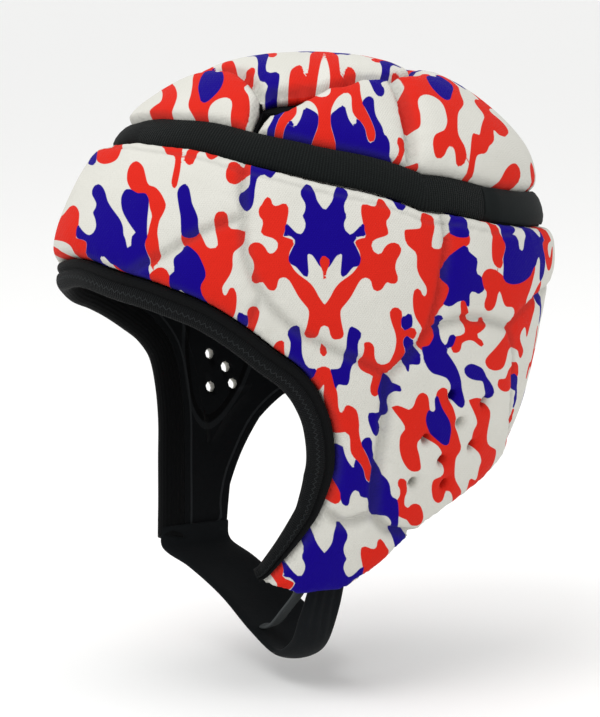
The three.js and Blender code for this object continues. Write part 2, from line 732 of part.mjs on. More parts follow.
// The strap's frame at a share of its length: its middle, its inner normal and its width
const jawHalfSpan = formAt(seamNodes.jawTip.reach).side * linerWidth / 2
const strapCurve = new THREE.CatmullRomCurve3(
  strapRows.map(({ across, drop }) => new THREE.Vector3(
    across * (jawHalfSpan - liningWall - seatingGap - strapWall / 2),
    0,
    liningWall - linerHeight - drop * strapDrop
  )),
  false,
  'centripetal'
)
const strapShape = new THREE.CatmullRomCurve3(
  strapRows.map(({ width, middle }) => new THREE.Vector3(
    strapTabWidth + width * (strapRootWidth - strapTabWidth),
    -middle * linerFront,
    0
  )),
  false,
  'centripetal'
)

function strapPoint(along, across, lift) {
  const point = strapCurve.getPoint(along)
  const tangent = strapCurve.getTangent(along)
  const shape = strapShape.getPoint(along)
  const inner = new THREE.Vector3(-tangent.z, 0, tangent.x)
  point.y = shape.y + (across - 0.5) * shape.x
  return point.addScaledVector(inner, lift)
}

function strapGeometry() {
  const count = 24
  const half = strapWall / 2
  const sections = Array.from({ length: count + 1 }, (_, i) => {
    const along = i / count
    return [
      strapPoint(along, 0, 0),
      strapPoint(along, 0.06, -half),
      strapPoint(along, 0.94, -half),
      strapPoint(along, 1, 0),
      strapPoint(along, 0.94, half),
      strapPoint(along, 0.06, half)
    ]
  })
  return sweptBody(sections, false)
}

function keeperGeometry(rows) {
  const points = rows.map(({ along, across, lift }) => new THREE.Vector3(along, across, lift))
  const curve = new THREE.CatmullRomCurve3(points)
  const count = 8
  const sections = Array.from({ length: count + 1 }, (_, i) => {
    const { x: along, y: across, z: lift } = curve.getPoint(i / count)
    const low = strapWall / 2 + seatingGap + lift * strapDrop
    const half = keeperWidth / strapTabWidth / 2
    return [
      strapPoint(along, across - half, low),
      strapPoint(along, across + half, low),
      strapPoint(along, across + half, low + keeperWall),
      strapPoint(along, across - half, low + keeperWall)
    ]
  })
  return sweptBody(sections, false)
}

// Joining and cutting
function toSolid(geometry) {
  const bare = geometry.clone()
  bare.deleteAttribute('normal')
  bare.deleteAttribute('uv')
  const merged = mergeVertices(bare, 1e-4)
  return new wasm.Manifold(new wasm.Mesh({
    numProp: 3,
    vertProperties: new Float32Array(merged.attributes.position.array),
    triVerts: new Uint32Array(merged.index.array)
  }))
}

function fromSolid(solid) {
  const mesh = solid.getMesh()
  const geometry = new THREE.BufferGeometry()
  geometry.setAttribute('position', new THREE.BufferAttribute(mesh.vertProperties, 3))
  geometry.setIndex(new THREE.BufferAttribute(mesh.triVerts, 1))
  return geometry
}

// An ear hole's punch, wider on the outside, along the surface's normal
function earPunch(hole, side) {
  const left = chartPoint(hole.turn, hole.reach)
  const right = chartPoint(-hole.turnRight, hole.reachRight)
  const chart = side > 0 ? left : right
  const reach = padThickness + liningWall + 8
  const punch = new THREE.CylinderGeometry(
    (earHoleDiameter + earHoleFlare) / 2, earHoleDiameter / 2, reach, 8, 1
  )
  const normal = formNormal(chart)
  punch.applyQuaternion(new THREE.Quaternion().setFromUnitVectors(new THREE.Vector3(0, 1, 0), normal))
  const centre = surfacePoint(chart, (padThickness - liningWall) / 2)
  punch.translate(centre.x, centre.y, centre.z)
  return toSolid(punch)
}

function punchHoles(geometry, sides) {
  let solid = toSolid(geometry)
  for (const side of sides) {
    for (const hole of earHoles) solid = solid.subtract(earPunch(hole, side))
  }
  return fromSolid(solid)
}

// Materials
function fabric(color, roughness) {
  return new THREE.MeshStandardMaterial({ color, roughness, metalness: 0 })
}

const materials = {
  shell: fabric('#e2e2db', 0.8),
  lining: fabric('#141617', 0.9),
  binding: fabric('#17191a', 0.75),
  webbing: fabric('#1b201f', 0.85),
  strap: fabric('#161819', 0.85),
  keeper: fabric('#3c3f40', 0.7)
}

const cap = new THREE.Group()

function addPiece(name, geometry, material) {
  const mesh = new THREE.Mesh(geometry, material)
  mesh.name = name
  cap.add(mesh)
}

function mirroredPad(pad) {
  const sides = pad.sides.map((path) => path.split(' ').map((name) => `${name}Right`).join(' '))
  return { ...pad, sides }
}

const pads = [
  ...centrePads,
  ...pairedPads.flatMap((pad) => [
    { ...pad, name: `${pad.name}_left`, hand: 1 },
    { ...mirroredPad(pad), name: `${pad.name}_right`, hand: -1 }
  ])
]
for (const pad of pads) {
  const geometry = padGeometry(pad)
  addPiece(pad.name, pad.holes ? punchHoles(geometry, [pad.hand]) : geometry, materials.shell)
}
const linerShell = liningGeometry(pads.map((pad) => makePatch(pad.sides)))
addPiece('inner_lining', punchHoles(linerShell, [1, -1]), materials.lining)
addPiece('face_binding', bindingGeometry(), materials.binding)
addPiece('head_band', bandGeometry(), materials.webbing)
addPiece('band_overlap', overlapGeometry(), materials.webbing)
addPiece('chin_strap', strapGeometry(), materials.strap)
for (const [name, rows] of Object.entries(keeperRows)) {
  addPiece(name, keeperGeometry(rows), materials.keeper)
}

export default cap
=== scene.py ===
import math

import bpy
import numpy as np
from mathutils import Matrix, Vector, noise
from mathutils.bvhtree import BVHTree
from mathutils.kdtree import KDTree


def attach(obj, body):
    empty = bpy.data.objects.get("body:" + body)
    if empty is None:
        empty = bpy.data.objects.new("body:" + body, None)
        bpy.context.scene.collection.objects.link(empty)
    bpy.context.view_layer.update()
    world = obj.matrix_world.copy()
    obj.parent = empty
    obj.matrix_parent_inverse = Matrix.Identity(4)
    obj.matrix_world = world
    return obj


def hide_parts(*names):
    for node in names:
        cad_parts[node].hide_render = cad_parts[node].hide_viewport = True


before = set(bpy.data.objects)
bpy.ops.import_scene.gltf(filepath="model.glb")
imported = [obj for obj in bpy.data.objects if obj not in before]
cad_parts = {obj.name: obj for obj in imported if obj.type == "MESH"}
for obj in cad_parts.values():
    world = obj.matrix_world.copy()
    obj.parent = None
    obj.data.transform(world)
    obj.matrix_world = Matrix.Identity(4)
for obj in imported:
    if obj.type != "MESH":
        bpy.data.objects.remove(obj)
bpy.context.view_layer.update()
print("frame loaded")


# camera at the photo's angle
cameraView = {"turn": 58, "rise": 8, "distance": 1.3, "lens": 154.4,
              "aim": (0, 0, -0.0988), "right": -0.00063, "up": -0.0188}


def viewAxes(view):
    turn = math.radians(view["turn"])
    rise = math.radians(view["rise"])
    right = Vector((math.cos(turn), math.sin(turn), 0))
    towards = Vector((math.sin(turn) * math.cos(rise), -math.cos(turn) * math.cos(rise), math.sin(rise)))
    return right, towards.cross(right), towards


def makeCamera(view):
    right, up, towards = viewAxes(view)
    aim = Vector(view["aim"]) + right * view["right"] + up * view["up"]
    bpy.ops.object.camera_add(location=aim + towards * view["distance"])
    camera = bpy.context.object
    camera.name = "photoCamera"
    camera.rotation_euler = towards.to_track_quat("Z", "Y").to_euler()
    camera.data.lens = view["lens"]
    camera.data.sensor_width = 36
    camera.data.sensor_fit = "AUTO"
    camera.data.clip_start = 0.05
    bpy.context.scene.camera = camera


makeCamera(cameraView)


# small helpers
def deselectAll():
    bpy.ops.object.select_all(action="DESELECT")


def pick(thing):
    deselectAll()
    thing.select_set(True)
    bpy.context.view_layer.objects.active = thing


def applyAll(thing):
    pick(thing)
    for modifier in list(thing.modifiers):
        bpy.ops.object.modifier_apply(modifier=modifier.name)


def copyOfNode(node, name):
    # a copy of a CAD node with its doubles merged
    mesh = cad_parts[node].data.copy()
    thing = bpy.data.objects.new(name, mesh)
    bpy.context.scene.collection.objects.link(thing)
    thing.data.materials.clear()
    pick(thing)
    bpy.ops.object.mode_set(mode="EDIT")
    bpy.ops.mesh.select_all(action="SELECT")
    bpy.ops.mesh.remove_doubles(threshold=0.00002)
    bpy.ops.object.mode_set(mode="OBJECT")
    return thing


def readPoints(mesh):
    flat = np.empty(len(mesh.vertices) * 3)
    mesh.vertices.foreach_get("co", flat)
    return flat.reshape(-1, 3)


def writePoints(mesh, points):
    mesh.vertices.foreach_set("co", np.ascontiguousarray(points, dtype=np.float32).ravel())
    mesh.update()


def readField(mesh, name):
    values = np.empty(len(mesh.vertices), dtype=np.float32)
    mesh.attributes[name].data.foreach_get("value", values)
    return values.astype(float)


def writeField(mesh, name, values):
    if name not in mesh.attributes:
        mesh.attributes.new(name=name, type="FLOAT", domain="POINT")
    mesh.attributes[name].data.foreach_set("value", np.ascontiguousarray(values, dtype=np.float32))


def smoothRamp(value, low, high):
    share = np.clip((value - low) / (high - low), 0, 1)
    return share * share * (3 - 2 * share)


def softPlus(value, width):
    return width * np.logaddexp(0, value / width)


# the head form, as in the CAD source: millimetres, with the crown at the middle of a chart
headForm = {"width": 156, "front": 101, "back": 104, "height": 203, "wall": 1.2}
formRows = np.array([
    # reach, down, side, front, back, shift
    (0.0, 0.0, 0.0, 0.0, 0.0, 0.0),
    (0.2, 0.02, 0.333, 0.327, 0.346, 0.04),
    (0.4, 0.076, 0.615, 0.584, 0.635, 0.05),
    (0.6, 0.163, 0.82, 0.782, 0.846, 0.04),
    (0.8, 0.271, 0.942, 0.921, 0.962, 0.02),
    (1.0, 0.394, 1.0, 1.0, 1.0, 0.0),
    (1.25, 0.542, 0.987, 0.99, 0.94, 0.0),
    (1.5, 0.695, 0.91, 0.95, 0.865, -0.03),
    (1.75, 0.847, 0.795, 0.911, 0.72, -0.08),
    (2.0, 1.0, 0.641, 0.871, 0.538, -0.139),
])


def formAt(reach):
    slopes = np.gradient(formRows[:, 1:], formRows[:, 0], axis=0)
    slopes[1:-1] = (formRows[2:, 1:] - formRows[:-2, 1:]) / (formRows[2:, :1] - formRows[:-2, :1])
    slopes[0, 0] = 0
    i = np.clip(np.searchsorted(formRows[:, 0], reach, side="right") - 1, 0, len(formRows) - 2)
    span = formRows[i + 1, 0] - formRows[i, 0]
    t = ((reach - formRows[i, 0]) / span)[:, None]
    span = span[:, None]
    start = (2 * t ** 3 - 3 * t ** 2 + 1) * formRows[i, 1:] + (t ** 3 - 2 * t ** 2 + t) * span * slopes[i]
    end = (3 * t ** 2 - 2 * t ** 3) * formRows[i + 1, 1:] + (t ** 3 - t ** 2) * span * slopes[i + 1]
    return start + end


def formPoints(chart):
    ring = formAt(np.hypot(chart[:, 0], chart[:, 1]))
    turn = np.arctan2(chart[:, 0], -chart[:, 1])
    middle = ring[:, 4] * headForm["front"]
    front = ring[:, 2] * headForm["front"] + middle
    back = ring[:, 3] * headForm["back"] - middle
    depth = np.where(np.cos(turn) > 0, front, back)
    return np.stack([ring[:, 1] * headForm["width"] / 2 * np.sin(turn),
                     middle - depth * np.cos(turn),
                     headForm["wall"] - ring[:, 0] * headForm["height"]], axis=1)


def formSlopes(chart):
    small = 0.002
    east = formPoints(chart + (small, 0)) - formPoints(chart - (small, 0))
    north = formPoints(chart + (0, small)) - formPoints(chart - (0, small))
    return east / (2 * small), north / (2 * small)


def formNormals(chart):
    east, north = formSlopes(chart)
    normal = np.cross(east, north)
    return normal / np.linalg.norm(normal, axis=1, keepdims=True)


def onForm(chart, lift):
    return (formPoints(chart) + formNormals(chart) * np.asarray(lift).reshape(-1, 1)) / 1000


def toChart(points):
    # the chart place and the lift of points near the form
    goal = points * 1000
    turns, reaches = np.meshgrid(np.radians(np.arange(-180, 180, 5)), np.arange(0.03, 2.12, 0.05))
    table = np.stack([reaches * np.sin(turns), -reaches * np.cos(turns)], axis=-1).reshape(-1, 2)
    places = formPoints(table)
    tree = KDTree(len(places))
    for i, place in enumerate(places):
        tree.insert(place, i)
    tree.balance()
    chart = np.array([table[tree.find(point)[1]] for point in goal])
    for _ in range(8):
        rest = goal - formPoints(chart)
        east, north = formSlopes(chart)
        a = (east * east).sum(1)
        b = (east * north).sum(1)
        c = (north * north).sum(1)
        e = (east * rest).sum(1)
        n = (north * rest).sum(1)
        bottom = a * c - b * b
        step = np.stack([(c * e - b * n) / bottom, (a * n - b * e) / bottom], axis=1)
        chart = chart + np.clip(step, -0.1, 0.1)
    lift = ((goal - formPoints(chart)) * formNormals(chart)).sum(1)
    return chart, lift


def chartOf(turn, reach):
    angle = np.radians(turn)
    return np.stack([reach * np.sin(angle), -reach * np.cos(angle)], axis=-1)


def smoothRoute(stops, closed=False, between=10):
    # a curve through stops given as turn and reach
    stops = np.array(stops, dtype=float)
    points = chartOf(stops[:, 0], stops[:, 1])
    if closed:
        points = np.vstack([points[-1], points, points[:2]])
    else:
        points = np.vstack([2 * points[0] - points[1], points, 2 * points[-1] - points[-2]])
    rows = []
    for i in range(1, len(points) - 2):
        for t in np.arange(between) / between:
            p = points[i - 1:i + 3]
            bend = 2 * p[0] - 5 * p[1] + 4 * p[2] - p[3]
            rows.append(0.5 * (2 * p[1] + (p[2] - p[0]) * t + bend * t ** 2
                               + (3 * p[1] - p[0] - 3 * p[2] + p[3]) * t ** 3))
    if not closed:
        rows.append(points[-2])
    return np.array(rows)


def evenRoute(route, count, closed=False):
    # the same curve with even steps on the surface
    if closed:
        route = np.vstack([route, route[0]])
    steps = np.linalg.norm(np.diff(formPoints(route), axis=0), axis=1)
    marks = np.concatenate([[0], np.cumsum(steps)])
    goals = np.linspace(0, marks[-1], count)
    even = np.stack([np.interp(goals, marks, route[:, k]) for k in range(2)], axis=1)
    return even, marks[-1]


def routeFrames(chart, closed=False):
    points = formPoints(chart)
    normals = formNormals(chart)
    if closed:
        along = np.roll(points[:-1], -1, axis=0) - np.roll(points[:-1], 1, axis=0)
        along = np.vstack([along, along[0]])
    else:
        along = np.gradient(points, axis=0)
    out = np.cross(normals, along)
    return points, normals, out / np.linalg.norm(out, axis=1, keepdims=True)


# where the seams run, as turn and reach on the wearer's left
seams = [
    ("band", [(0, 0.505), (15, 0.507), (30, 0.515), (44.5, 0.55), (57.7, 0.587), (71.1, 0.628),
              (90.3, 0.699), (97.5, 0.725), (117, 0.778), (137, 0.812), (160, 0.838), (180, 0.845)]),
    ("slit", [(44.2, 0.357), (44.3, 0.412), (44.4, 0.469), (44.5, 0.55)]),
    ("slit", [(44.2, 0.357), (39.1, 0.306), (32.3, 0.262), (13.8, 0.206), (0, 0.2)]),
    ("slit", [(44.2, 0.345), (50, 0.328), (57, 0.322), (67, 0.3)]),
    ("lip", [(67, 0.306), (55.7, 0.38), (50.7, 0.407), (47, 0.429), (44.5, 0.55)]),
    ("slit", [(67, 0.306), (80.4, 0.287), (90.2, 0.255), (111, 0.27)]),
    ("groove", [(111, 0.27), (97.5, 0.432), (92.4, 0.58), (90.3, 0.699)]),
    ("groove", [(111, 0.27), (140, 0.275), (180, 0.28)]),
    ("soft", [(44.5, 0.55), (46.5, 0.68), (48.6, 0.79), (48.7, 0.82), (50, 0.891), (52.2, 0.959),
              (54.6, 1.015)]),
    ("soft", [(21, 0.967), (30.9, 0.9), (38.6, 0.838), (48.6, 0.79)]),
    ("soft", [(51, 1.116), (54.6, 1.015)]),
    ("soft", [(54.6, 1.015), (59.6, 1.091), (65, 1.147), (72.8, 1.204), (83.3, 1.284)]),
    ("soft", [(93, 1.14), (88.2, 1.219), (83.3, 1.284)]),
    ("soft", [(97.5, 0.727), (98, 0.867), (96.7, 0.952), (95.3, 1.041), (93, 1.14)]),
    ("soft", [(93, 1.14), (104, 1.115), (112, 1.138), (119, 1.165)]),
    ("soft", [(119, 1.165), (131.6, 1.09), (150, 1.06), (180, 1.05)]),
    ("soft", [(119, 1.165), (124, 1.25), (127.5, 1.361), (134, 1.487), (147, 1.64)]),
    ("groove", [(83.3, 1.284), (85, 1.479), (86, 1.613), (89, 1.745)]),
    ("groove", [(74.3, 1.72), (81.1, 1.765), (89, 1.745)]),
    ("groove", [(89, 1.745), (94.4, 1.795), (100, 1.815), (107.5, 1.835)]),
    ("rim", [(0, 0.935), (12, 0.95), (21, 0.967), (32.5, 0.999), (41.7, 1.04), (51, 1.116), (57.8, 1.192),
             (64.5, 1.265), (68.9, 1.342), (72.7, 1.447), (75.3, 1.595), (74.3, 1.72), (72.5, 1.783),
             (68.5, 1.868), (63.9, 1.943), (61.2, 1.965)]),
    ("rim", [(61.2, 1.965), (64.5, 1.99), (71.3, 2.009), (77, 2.018), (88.2, 2.015), (94.8, 1.973),
             (100.3, 1.928), (107.5, 1.835), (120.3, 1.753), (132.8, 1.702), (147, 1.64), (162, 1.6),
             (180, 1.58)]),
]
# on the wearer's right these rows take the place of the ones at the same position
rightSeams = {
    0: ("band", [(0, 0.51), (15, 0.53), (30, 0.55), (44.5, 0.585), (57.7, 0.615), (71.1, 0.648),
                 (90.3, 0.705), (97.5, 0.727), (117, 0.778), (137, 0.812), (160, 0.838), (180, 0.845)]),
    10: ("soft", [(51, 1.075), (55, 0.975)]),
    11: ("soft", [(55, 0.975), (60, 1.035), (66, 1.085), (74, 1.14), (83.5, 1.2)]),
    12: ("soft", [(93, 1.1), (88.2, 1.16), (83.5, 1.2)]),
    13: ("soft", [(97.5, 0.727), (98, 0.867), (96.7, 0.952), (95.3, 1.041), (93, 1.1)]),
    14: ("soft", [(93, 1.1), (104, 1.115), (112, 1.138), (119, 1.165)]),
    16: ("soft", [(119, 1.165), (123, 1.25), (126, 1.37), (130, 1.48), (135, 1.575)]),
    17: ("groove", [(83.5, 1.2), (85, 1.35), (85.5, 1.52), (88.5, 1.7)]),
    18: ("groove", [(80, 1.72), (88.5, 1.7)]),
    19: ("groove", [(88.5, 1.7), (99.5, 1.735)]),
    20: ("rim", [(0, 0.935), (12, 0.95), (21, 0.967), (32.5, 0.999), (41.7, 1.04), (51, 1.075),
                 (59, 1.12), (66, 1.175), (73, 1.245), (78, 1.34), (80, 1.46), (80.6, 1.6), (80, 1.72),
                 (79, 1.86), (77.5, 1.99)]),
    21: ("rim", [(77.5, 1.99), (86, 1.99), (94.8, 1.965), (95.1, 1.888), (97, 1.8), (99.5, 1.735),
                 (103, 1.649), (106.4, 1.593), (114, 1.52), (124, 1.51), (135, 1.575), (148, 1.63),
                 (164, 1.6), (180, 1.58)]),
}


def seamLines():
    lines = []
    for i, (kind, stops) in enumerate(seams):
        lines.append((kind, formPoints(smoothRoute(stops, between=3))))
        kind, stops = rightSeams.get(i, (kind, stops))
        lines.append((kind, formPoints(smoothRoute([(-turn, reach) for turn, reach in stops], between=3))))
    return lines


def distanceTo(line, points):
    # the distance from points to a line of many short pieces, and how far along it the nearest place is
    start = line[:-1]
    way = line[1:] - start
    length = np.linalg.norm(way, axis=1)
    marks = np.concatenate([[0], np.cumsum(length)])
    best = np.full(len(points), 1e9)
    place = np.zeros(len(points))
    for i in range(len(way)):
        share = np.clip(((points - start[i]) @ way[i]) / (length[i] ** 2 + 1e-12), 0, 1)
        gap = np.linalg.norm(points - start[i] - share[:, None] * way[i], axis=1)
        nearer = gap < best
        best[nearer] = gap[nearer]
        place[nearer] = marks[i] + share[nearer] * length[i]
    return best, place


# the shell that the cover and the lining are both made from
def makeShell(name, low, high, cuts=2):
    # the lining's own outline, with its two faces lifted off the form as far as low and high
    shell = copyOfNode("inner_lining", name)
    chart, lift = toChart(readPoints(shell.data))
    writeField(shell.data, "chartEast", chart[:, 0])
    writeField(shell.data, "chartNorth", chart[:, 1])
    writeField(shell.data, "outside", smoothRamp(lift, -0.8, -0.4))
    bpy.ops.object.mode_set(mode="EDIT")
    bpy.ops.mesh.select_all(action="SELECT")
    for _ in range(cuts):
        bpy.ops.mesh.subdivide(number_cuts=1)
    bpy.ops.object.mode_set(mode="OBJECT")
    mesh = shell.data
    chart = np.stack([readField(mesh, "chartEast"), readField(mesh, "chartNorth")], axis=1)
    outside = readField(mesh, "outside")
    writePoints(mesh, onForm(chart, low + (high - low) * outside))
    return shell, chart, outside


def evenMesh(thing, size):
    remesh = thing.modifiers.new("even", "REMESH")
    remesh.mode = "VOXEL"
    remesh.voxel_size = size
    applyAll(thing)


# printed cover over the foam pads
cover = {
    "padHeight": 9.5, "seat": 1.0, "inside": 0.35, "printLift": 9.5,
    # along the band's upper edge: turn, half the gap, the height beside it, the roll
    "bandTop": np.array([(-180, 7.4, 4.0, 16), (-75, 7.4, 4.9, 9), (-45, 5.8, 7.2, 7), (0, 5.8, 7.2, 7),
                         (35, 7.4, 4.9, 9), (100, 7.4, 4.9, 10), (135, 7.4, 4.0, 16), (180, 7.4, 4.0, 16)]),
    # for each kind of seam: half its gap, the height in it and beside it, and the width of the pads' roll
    "seams": {"band": (7.4, 2.2, 4.9, 8.0), "slit": (1.0, 2.2, 4.6, 9.0), "lip": (1.0, 1.4, 2.4, 15.0),
              "groove": (1.2, 4.4, 6.0, 10.5),
              "soft": (0.8, 6.0, 7.0, 10.5), "rim": (0.4, 1.6, 4.9, 10.5)},
    "blank": 6.0, "voxel": 0.0015, "quickVoxel": 0.0022,
    "stitch": {"from": 12.2, "width": 0.8, "depth": 0.7, "turns": (-60, 118)},
    "fullness": {"crown_rear_pad": 1.2, "occiput_pad": 1.05, "crown_front_pad": 0.95, "nape_pad": 0.8,
                 "brow_side_pad_left": 0.9, "brow_side_pad_right": 0.9, "cheek_pad_left": 0.85,
                 "cheek_pad_right": 0.85, "jaw_pad_left": 0.95, "jaw_pad_right": 0.95},
    "earHoles": [(102.2, 1.361), (114.5, 1.401), (107.4, 1.457), (97.4, 1.498), (115.1, 1.545),
                 (105.1, 1.579), (97.6, 1.641), (109.6, 1.664), (-91, 1.25), (-100, 1.26),
                 (-95.5, 1.315), (-89.5, 1.375), (-99.5, 1.385), (-94.3, 1.425), (-89.5, 1.49),
                 (-96.5, 1.485)],
    # depth, radius and softness of the dimples round the ear holes, on the near and the far side
    "dimple": (2.0, 1.3, 2.3), "farDimple": (6.2, 2.6, 2.3),
    "folds": 0.28, "pucker": 0.16, "puckerPitch": 6.3,
    "holes": {"near": 1.4, "far": 2.8, "lining": 2.1}, "through": 25,
}
padNodes = [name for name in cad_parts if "_pad" in name]


def padFullness(points):
    # which pad lies over each place, and how full it is
    corners = []
    faces = []
    owners = []
    for name in padNodes:
        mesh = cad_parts[name].data
        first = len(corners)
        corners.extend(vertex.co.copy() for vertex in mesh.vertices)
        for face in mesh.polygons:
            faces.append([first + i for i in face.vertices])
            owners.append(name)
    tree = BVHTree.FromPolygons(corners, faces)
    return np.array([cover["fullness"].get(owners[tree.find_nearest(point)[2]], 1.0) for point in points])


def coverHeights(chart):
    places = formPoints(chart)
    height = np.full(len(chart), 99.0)
    nearest = np.full(len(chart), 99.0)
    beside = np.zeros(len(chart))
    full = cover["padHeight"] * padFullness(onForm(chart, 6.0))
    above = np.hypot(chart[:, 0], chart[:, 1]) < bandReachAt(chart)
    turns = np.degrees(np.arctan2(chart[:, 0], -chart[:, 1]))
    top = [np.interp(turns, cover["bandTop"][:, 0], cover["bandTop"][:, k]) for k in (1, 2, 3)]
    for kind, line in seamLines():
        gap, place = distanceTo(line, places)
        half, low, high, roll = cover["seams"][kind]
        if kind == "band":
            half, high, roll = (np.where(above, a, b) for a, b in zip(top, (half, high, roll)))
        edge = gap - half
        rise = low + (high - low) * smoothRamp(edge, -1.2, 1.4)
        share = np.clip(edge / roll, 0, 1)
        rise = rise + (full - high) * np.sqrt(np.clip(1 - (1 - share) ** 2, 0, 1)) * (edge > 0)
        height = np.minimum(height, rise)
        nearer = edge < nearest
        beside[nearer] = place[nearer]
        nearest = np.minimum(nearest, edge)
    for turn, reach in cover["earHoles"]:
        centre = formPoints(chartOf(np.array([turn]), np.array([reach])))[0]
        gap = np.linalg.norm(places - centre, axis=1)
        deep, wide, soft = cover["dimple"] if turn > 0 else cover["farDimple"]
        height = height - deep * np.exp(-(np.clip(gap - wide, 0, None) / soft) ** 2)
    return height - stitchDepth(chart, places), nearest, beside


def bandReachAt(chart):
    line = smoothRoute(seams[0][1])
    turn = np.degrees(np.abs(np.arctan2(chart[:, 0], -chart[:, 1])))
    lineTurn = np.degrees(np.arctan2(line[:, 0], -line[:, 1]))
    return np.interp(turn, lineTurn, np.hypot(line[:, 0], line[:, 1]))


def stitchDepth(chart, places):
    # the stitched line that runs along under the band
    row = cover["stitch"]
    line = formPoints(smoothRoute(seams[0][1], between=4))
    line = np.vstack([line[::-1] * (-1, 1, 1), line[1:]])
    gap, along = distanceTo(line, places)
    below = np.hypot(chart[:, 0], chart[:, 1]) > bandReachAt(chart)
    turn = np.degrees(np.arctan2(chart[:, 0], -chart[:, 1]))
    here = below * smoothRamp(turn, row["turns"][0], row["turns"][0] + 6)
    here = here * (1 - smoothRamp(turn, row["turns"][1], row["turns"][1] + 6))
    return row["depth"] * here * np.exp(-((gap - row["from"]) / row["width"]) ** 2)


foam = {"voxel": 0.0045, "pressure": 4.0, "frames": 20, "cap": 2.2, "start": 0.9}


def puffedFoam(blank):
    # a coarse copy of the pads swells between its sewn seams, and tells how far each place rises
    pick(blank)
    bpy.ops.object.duplicate()
    trial = bpy.context.object
    evenMesh(trial, foam["voxel"])
    chart, lift = toChart(readPoints(trial.data))
    outside = smoothRamp((lift - cover["inside"]) / cover["blank"], 0.12, 0.88)
    height, nearest = coverHeights(chart)[:2]
    level = cover["inside"] + (cover["seat"] + height * foam["start"] - cover["inside"]) * outside
    start = onForm(chart, level)
    writePoints(trial.data, start)
    sewn = trial.vertex_groups.new(name="sewn")
    held = np.clip(1 - outside + (nearest < 2.0), 0, 1)
    for i, weight in enumerate(held):
        sewn.add([i], float(weight), "REPLACE")
    cloth = trial.modifiers.new("foam", "CLOTH")
    cloth.settings.quality = 5
    cloth.settings.mass = 0.2
    cloth.settings.tension_stiffness = 8
    cloth.settings.compression_stiffness = 8
    cloth.settings.bending_stiffness = 0.3
    cloth.settings.use_pressure = True
    cloth.settings.uniform_pressure_force = foam["pressure"]
    cloth.settings.vertex_group_mass = "sewn"
    cloth.settings.effector_weights.gravity = 0
    cloth.point_cache.frame_start = 1
    cloth.point_cache.frame_end = foam["frames"]
    for frameNumber in range(1, foam["frames"] + 1):
        bpy.context.scene.frame_set(frameNumber)
    applyAll(trial)
    bpy.context.scene.frame_set(1)
    moved = (readPoints(trial.data) - start) * 1000
    rise = np.clip((moved * formNormals(chart)).sum(1), -foam["cap"], foam["cap"]) * outside
    bpy.data.objects.remove(trial)
    print("foam swelled:", len(rise), "points, most", round(float(rise.max()), 2), "mm")
    return start, rise


def riseAt(points, foamPoints, foamRise):
    tree = KDTree(len(foamPoints))
    for i, place in enumerate(foamPoints):
        tree.insert(place, i)
    tree.balance()
    rise = np.zeros(len(points))
    for i, point in enumerate(points):
        near = tree.find_n(point, 4)
        weights = [1 / (gap + 0.001) ** 2 for _, _, gap in near]
        rise[i] = sum(foamRise[k] * w for (_, k, _), w in zip(near, weights)) / sum(weights)
    return rise


def makeCover():
    shell = makeShell("printedCover", cover["inside"], cover["inside"] + cover["blank"])[0]
    puffed = puffedFoam(shell)
    evenMesh(shell, cover["voxel"])
    mesh = shell.data
    chart, lift = toChart(readPoints(mesh))
    outside = smoothRamp((lift - cover["inside"]) / cover["blank"], 0.12, 0.88)
    height, nearest, beside = coverHeights(chart)
    places = formPoints(chart)
    if puffed:
        level = cover["inside"] + (cover["seat"] + height * foam["start"] - cover["inside"]) * outside
        swell = riseAt(onForm(chart, level), *puffed) * smoothRamp(nearest, 0.5, 4)
        height = height + swell
    # broad, shallow folds, and small puckers along the seams
    folds = np.array([noise.noise(Vector(place) / 17) + 0.6 * noise.noise(Vector(place) / 7)
                      for place in places])
    height = height + folds * cover["folds"] * smoothRamp(nearest, 0.5, 4)
    wave = np.sin(beside * 2 * math.pi / cover["puckerPitch"] + 4 * folds)
    pucker = wave * cover["pucker"] * smoothRamp(nearest, 0, 1.5)
    height = height + pucker * (1 - smoothRamp(nearest, 3, 8))
    lift = cover["inside"] + (cover["seat"] + height - cover["inside"]) * outside
    writePoints(mesh, onForm(chart, lift))
    # painted shade: the cover's colour is darkened in the seams' grooves and along the stitched line under
    # the band, where shade falls
    paintedCreaseShade = np.exp(-(np.clip(nearest, 0, None) / 1.6) ** 2)
    paintedCreaseShade = paintedCreaseShade + stitchDepth(chart, places) / cover["stitch"]["depth"]
    writeField(mesh, "paintedCreaseShade", np.clip(paintedCreaseShade, 0, 1) * outside)
    return shell


vent = [(43.6, 0.352), (46, 0.336), (50, 0.326), (57, 0.32), (62, 0.31), (67, 0.3), (61, 0.356),
        (55.7, 0.388), (51.5, 0.414), (48.5, 0.44), (46.8, 0.48), (45.4, 0.53), (44.0, 0.53),
        (43.8, 0.469), (43.6, 0.412)]


def makeCutter(ring, low, high):
    # a prism that stands on the form, with the ring's outline
    deselectAll()
    bpy.ops.mesh.primitive_cylinder_add(vertices=len(ring), radius=1, depth=2)
    cutter = bpy.context.object
    flat = readPoints(cutter.data)
    index = np.round(np.arctan2(flat[:, 0], flat[:, 1]) / (2 * math.pi) * len(ring)).astype(int) % len(ring)
    writePoints(cutter.data, onForm(ring[index], np.where(flat[:, 2] > 0, high, low)))
    pick(cutter)
    bpy.ops.object.mode_set(mode="EDIT")
    bpy.ops.mesh.select_all(action="SELECT")
    bpy.ops.mesh.quads_convert_to_tris()
    bpy.ops.mesh.normals_make_consistent(inside=False)
    bpy.ops.object.mode_set(mode="OBJECT")
    return cutter


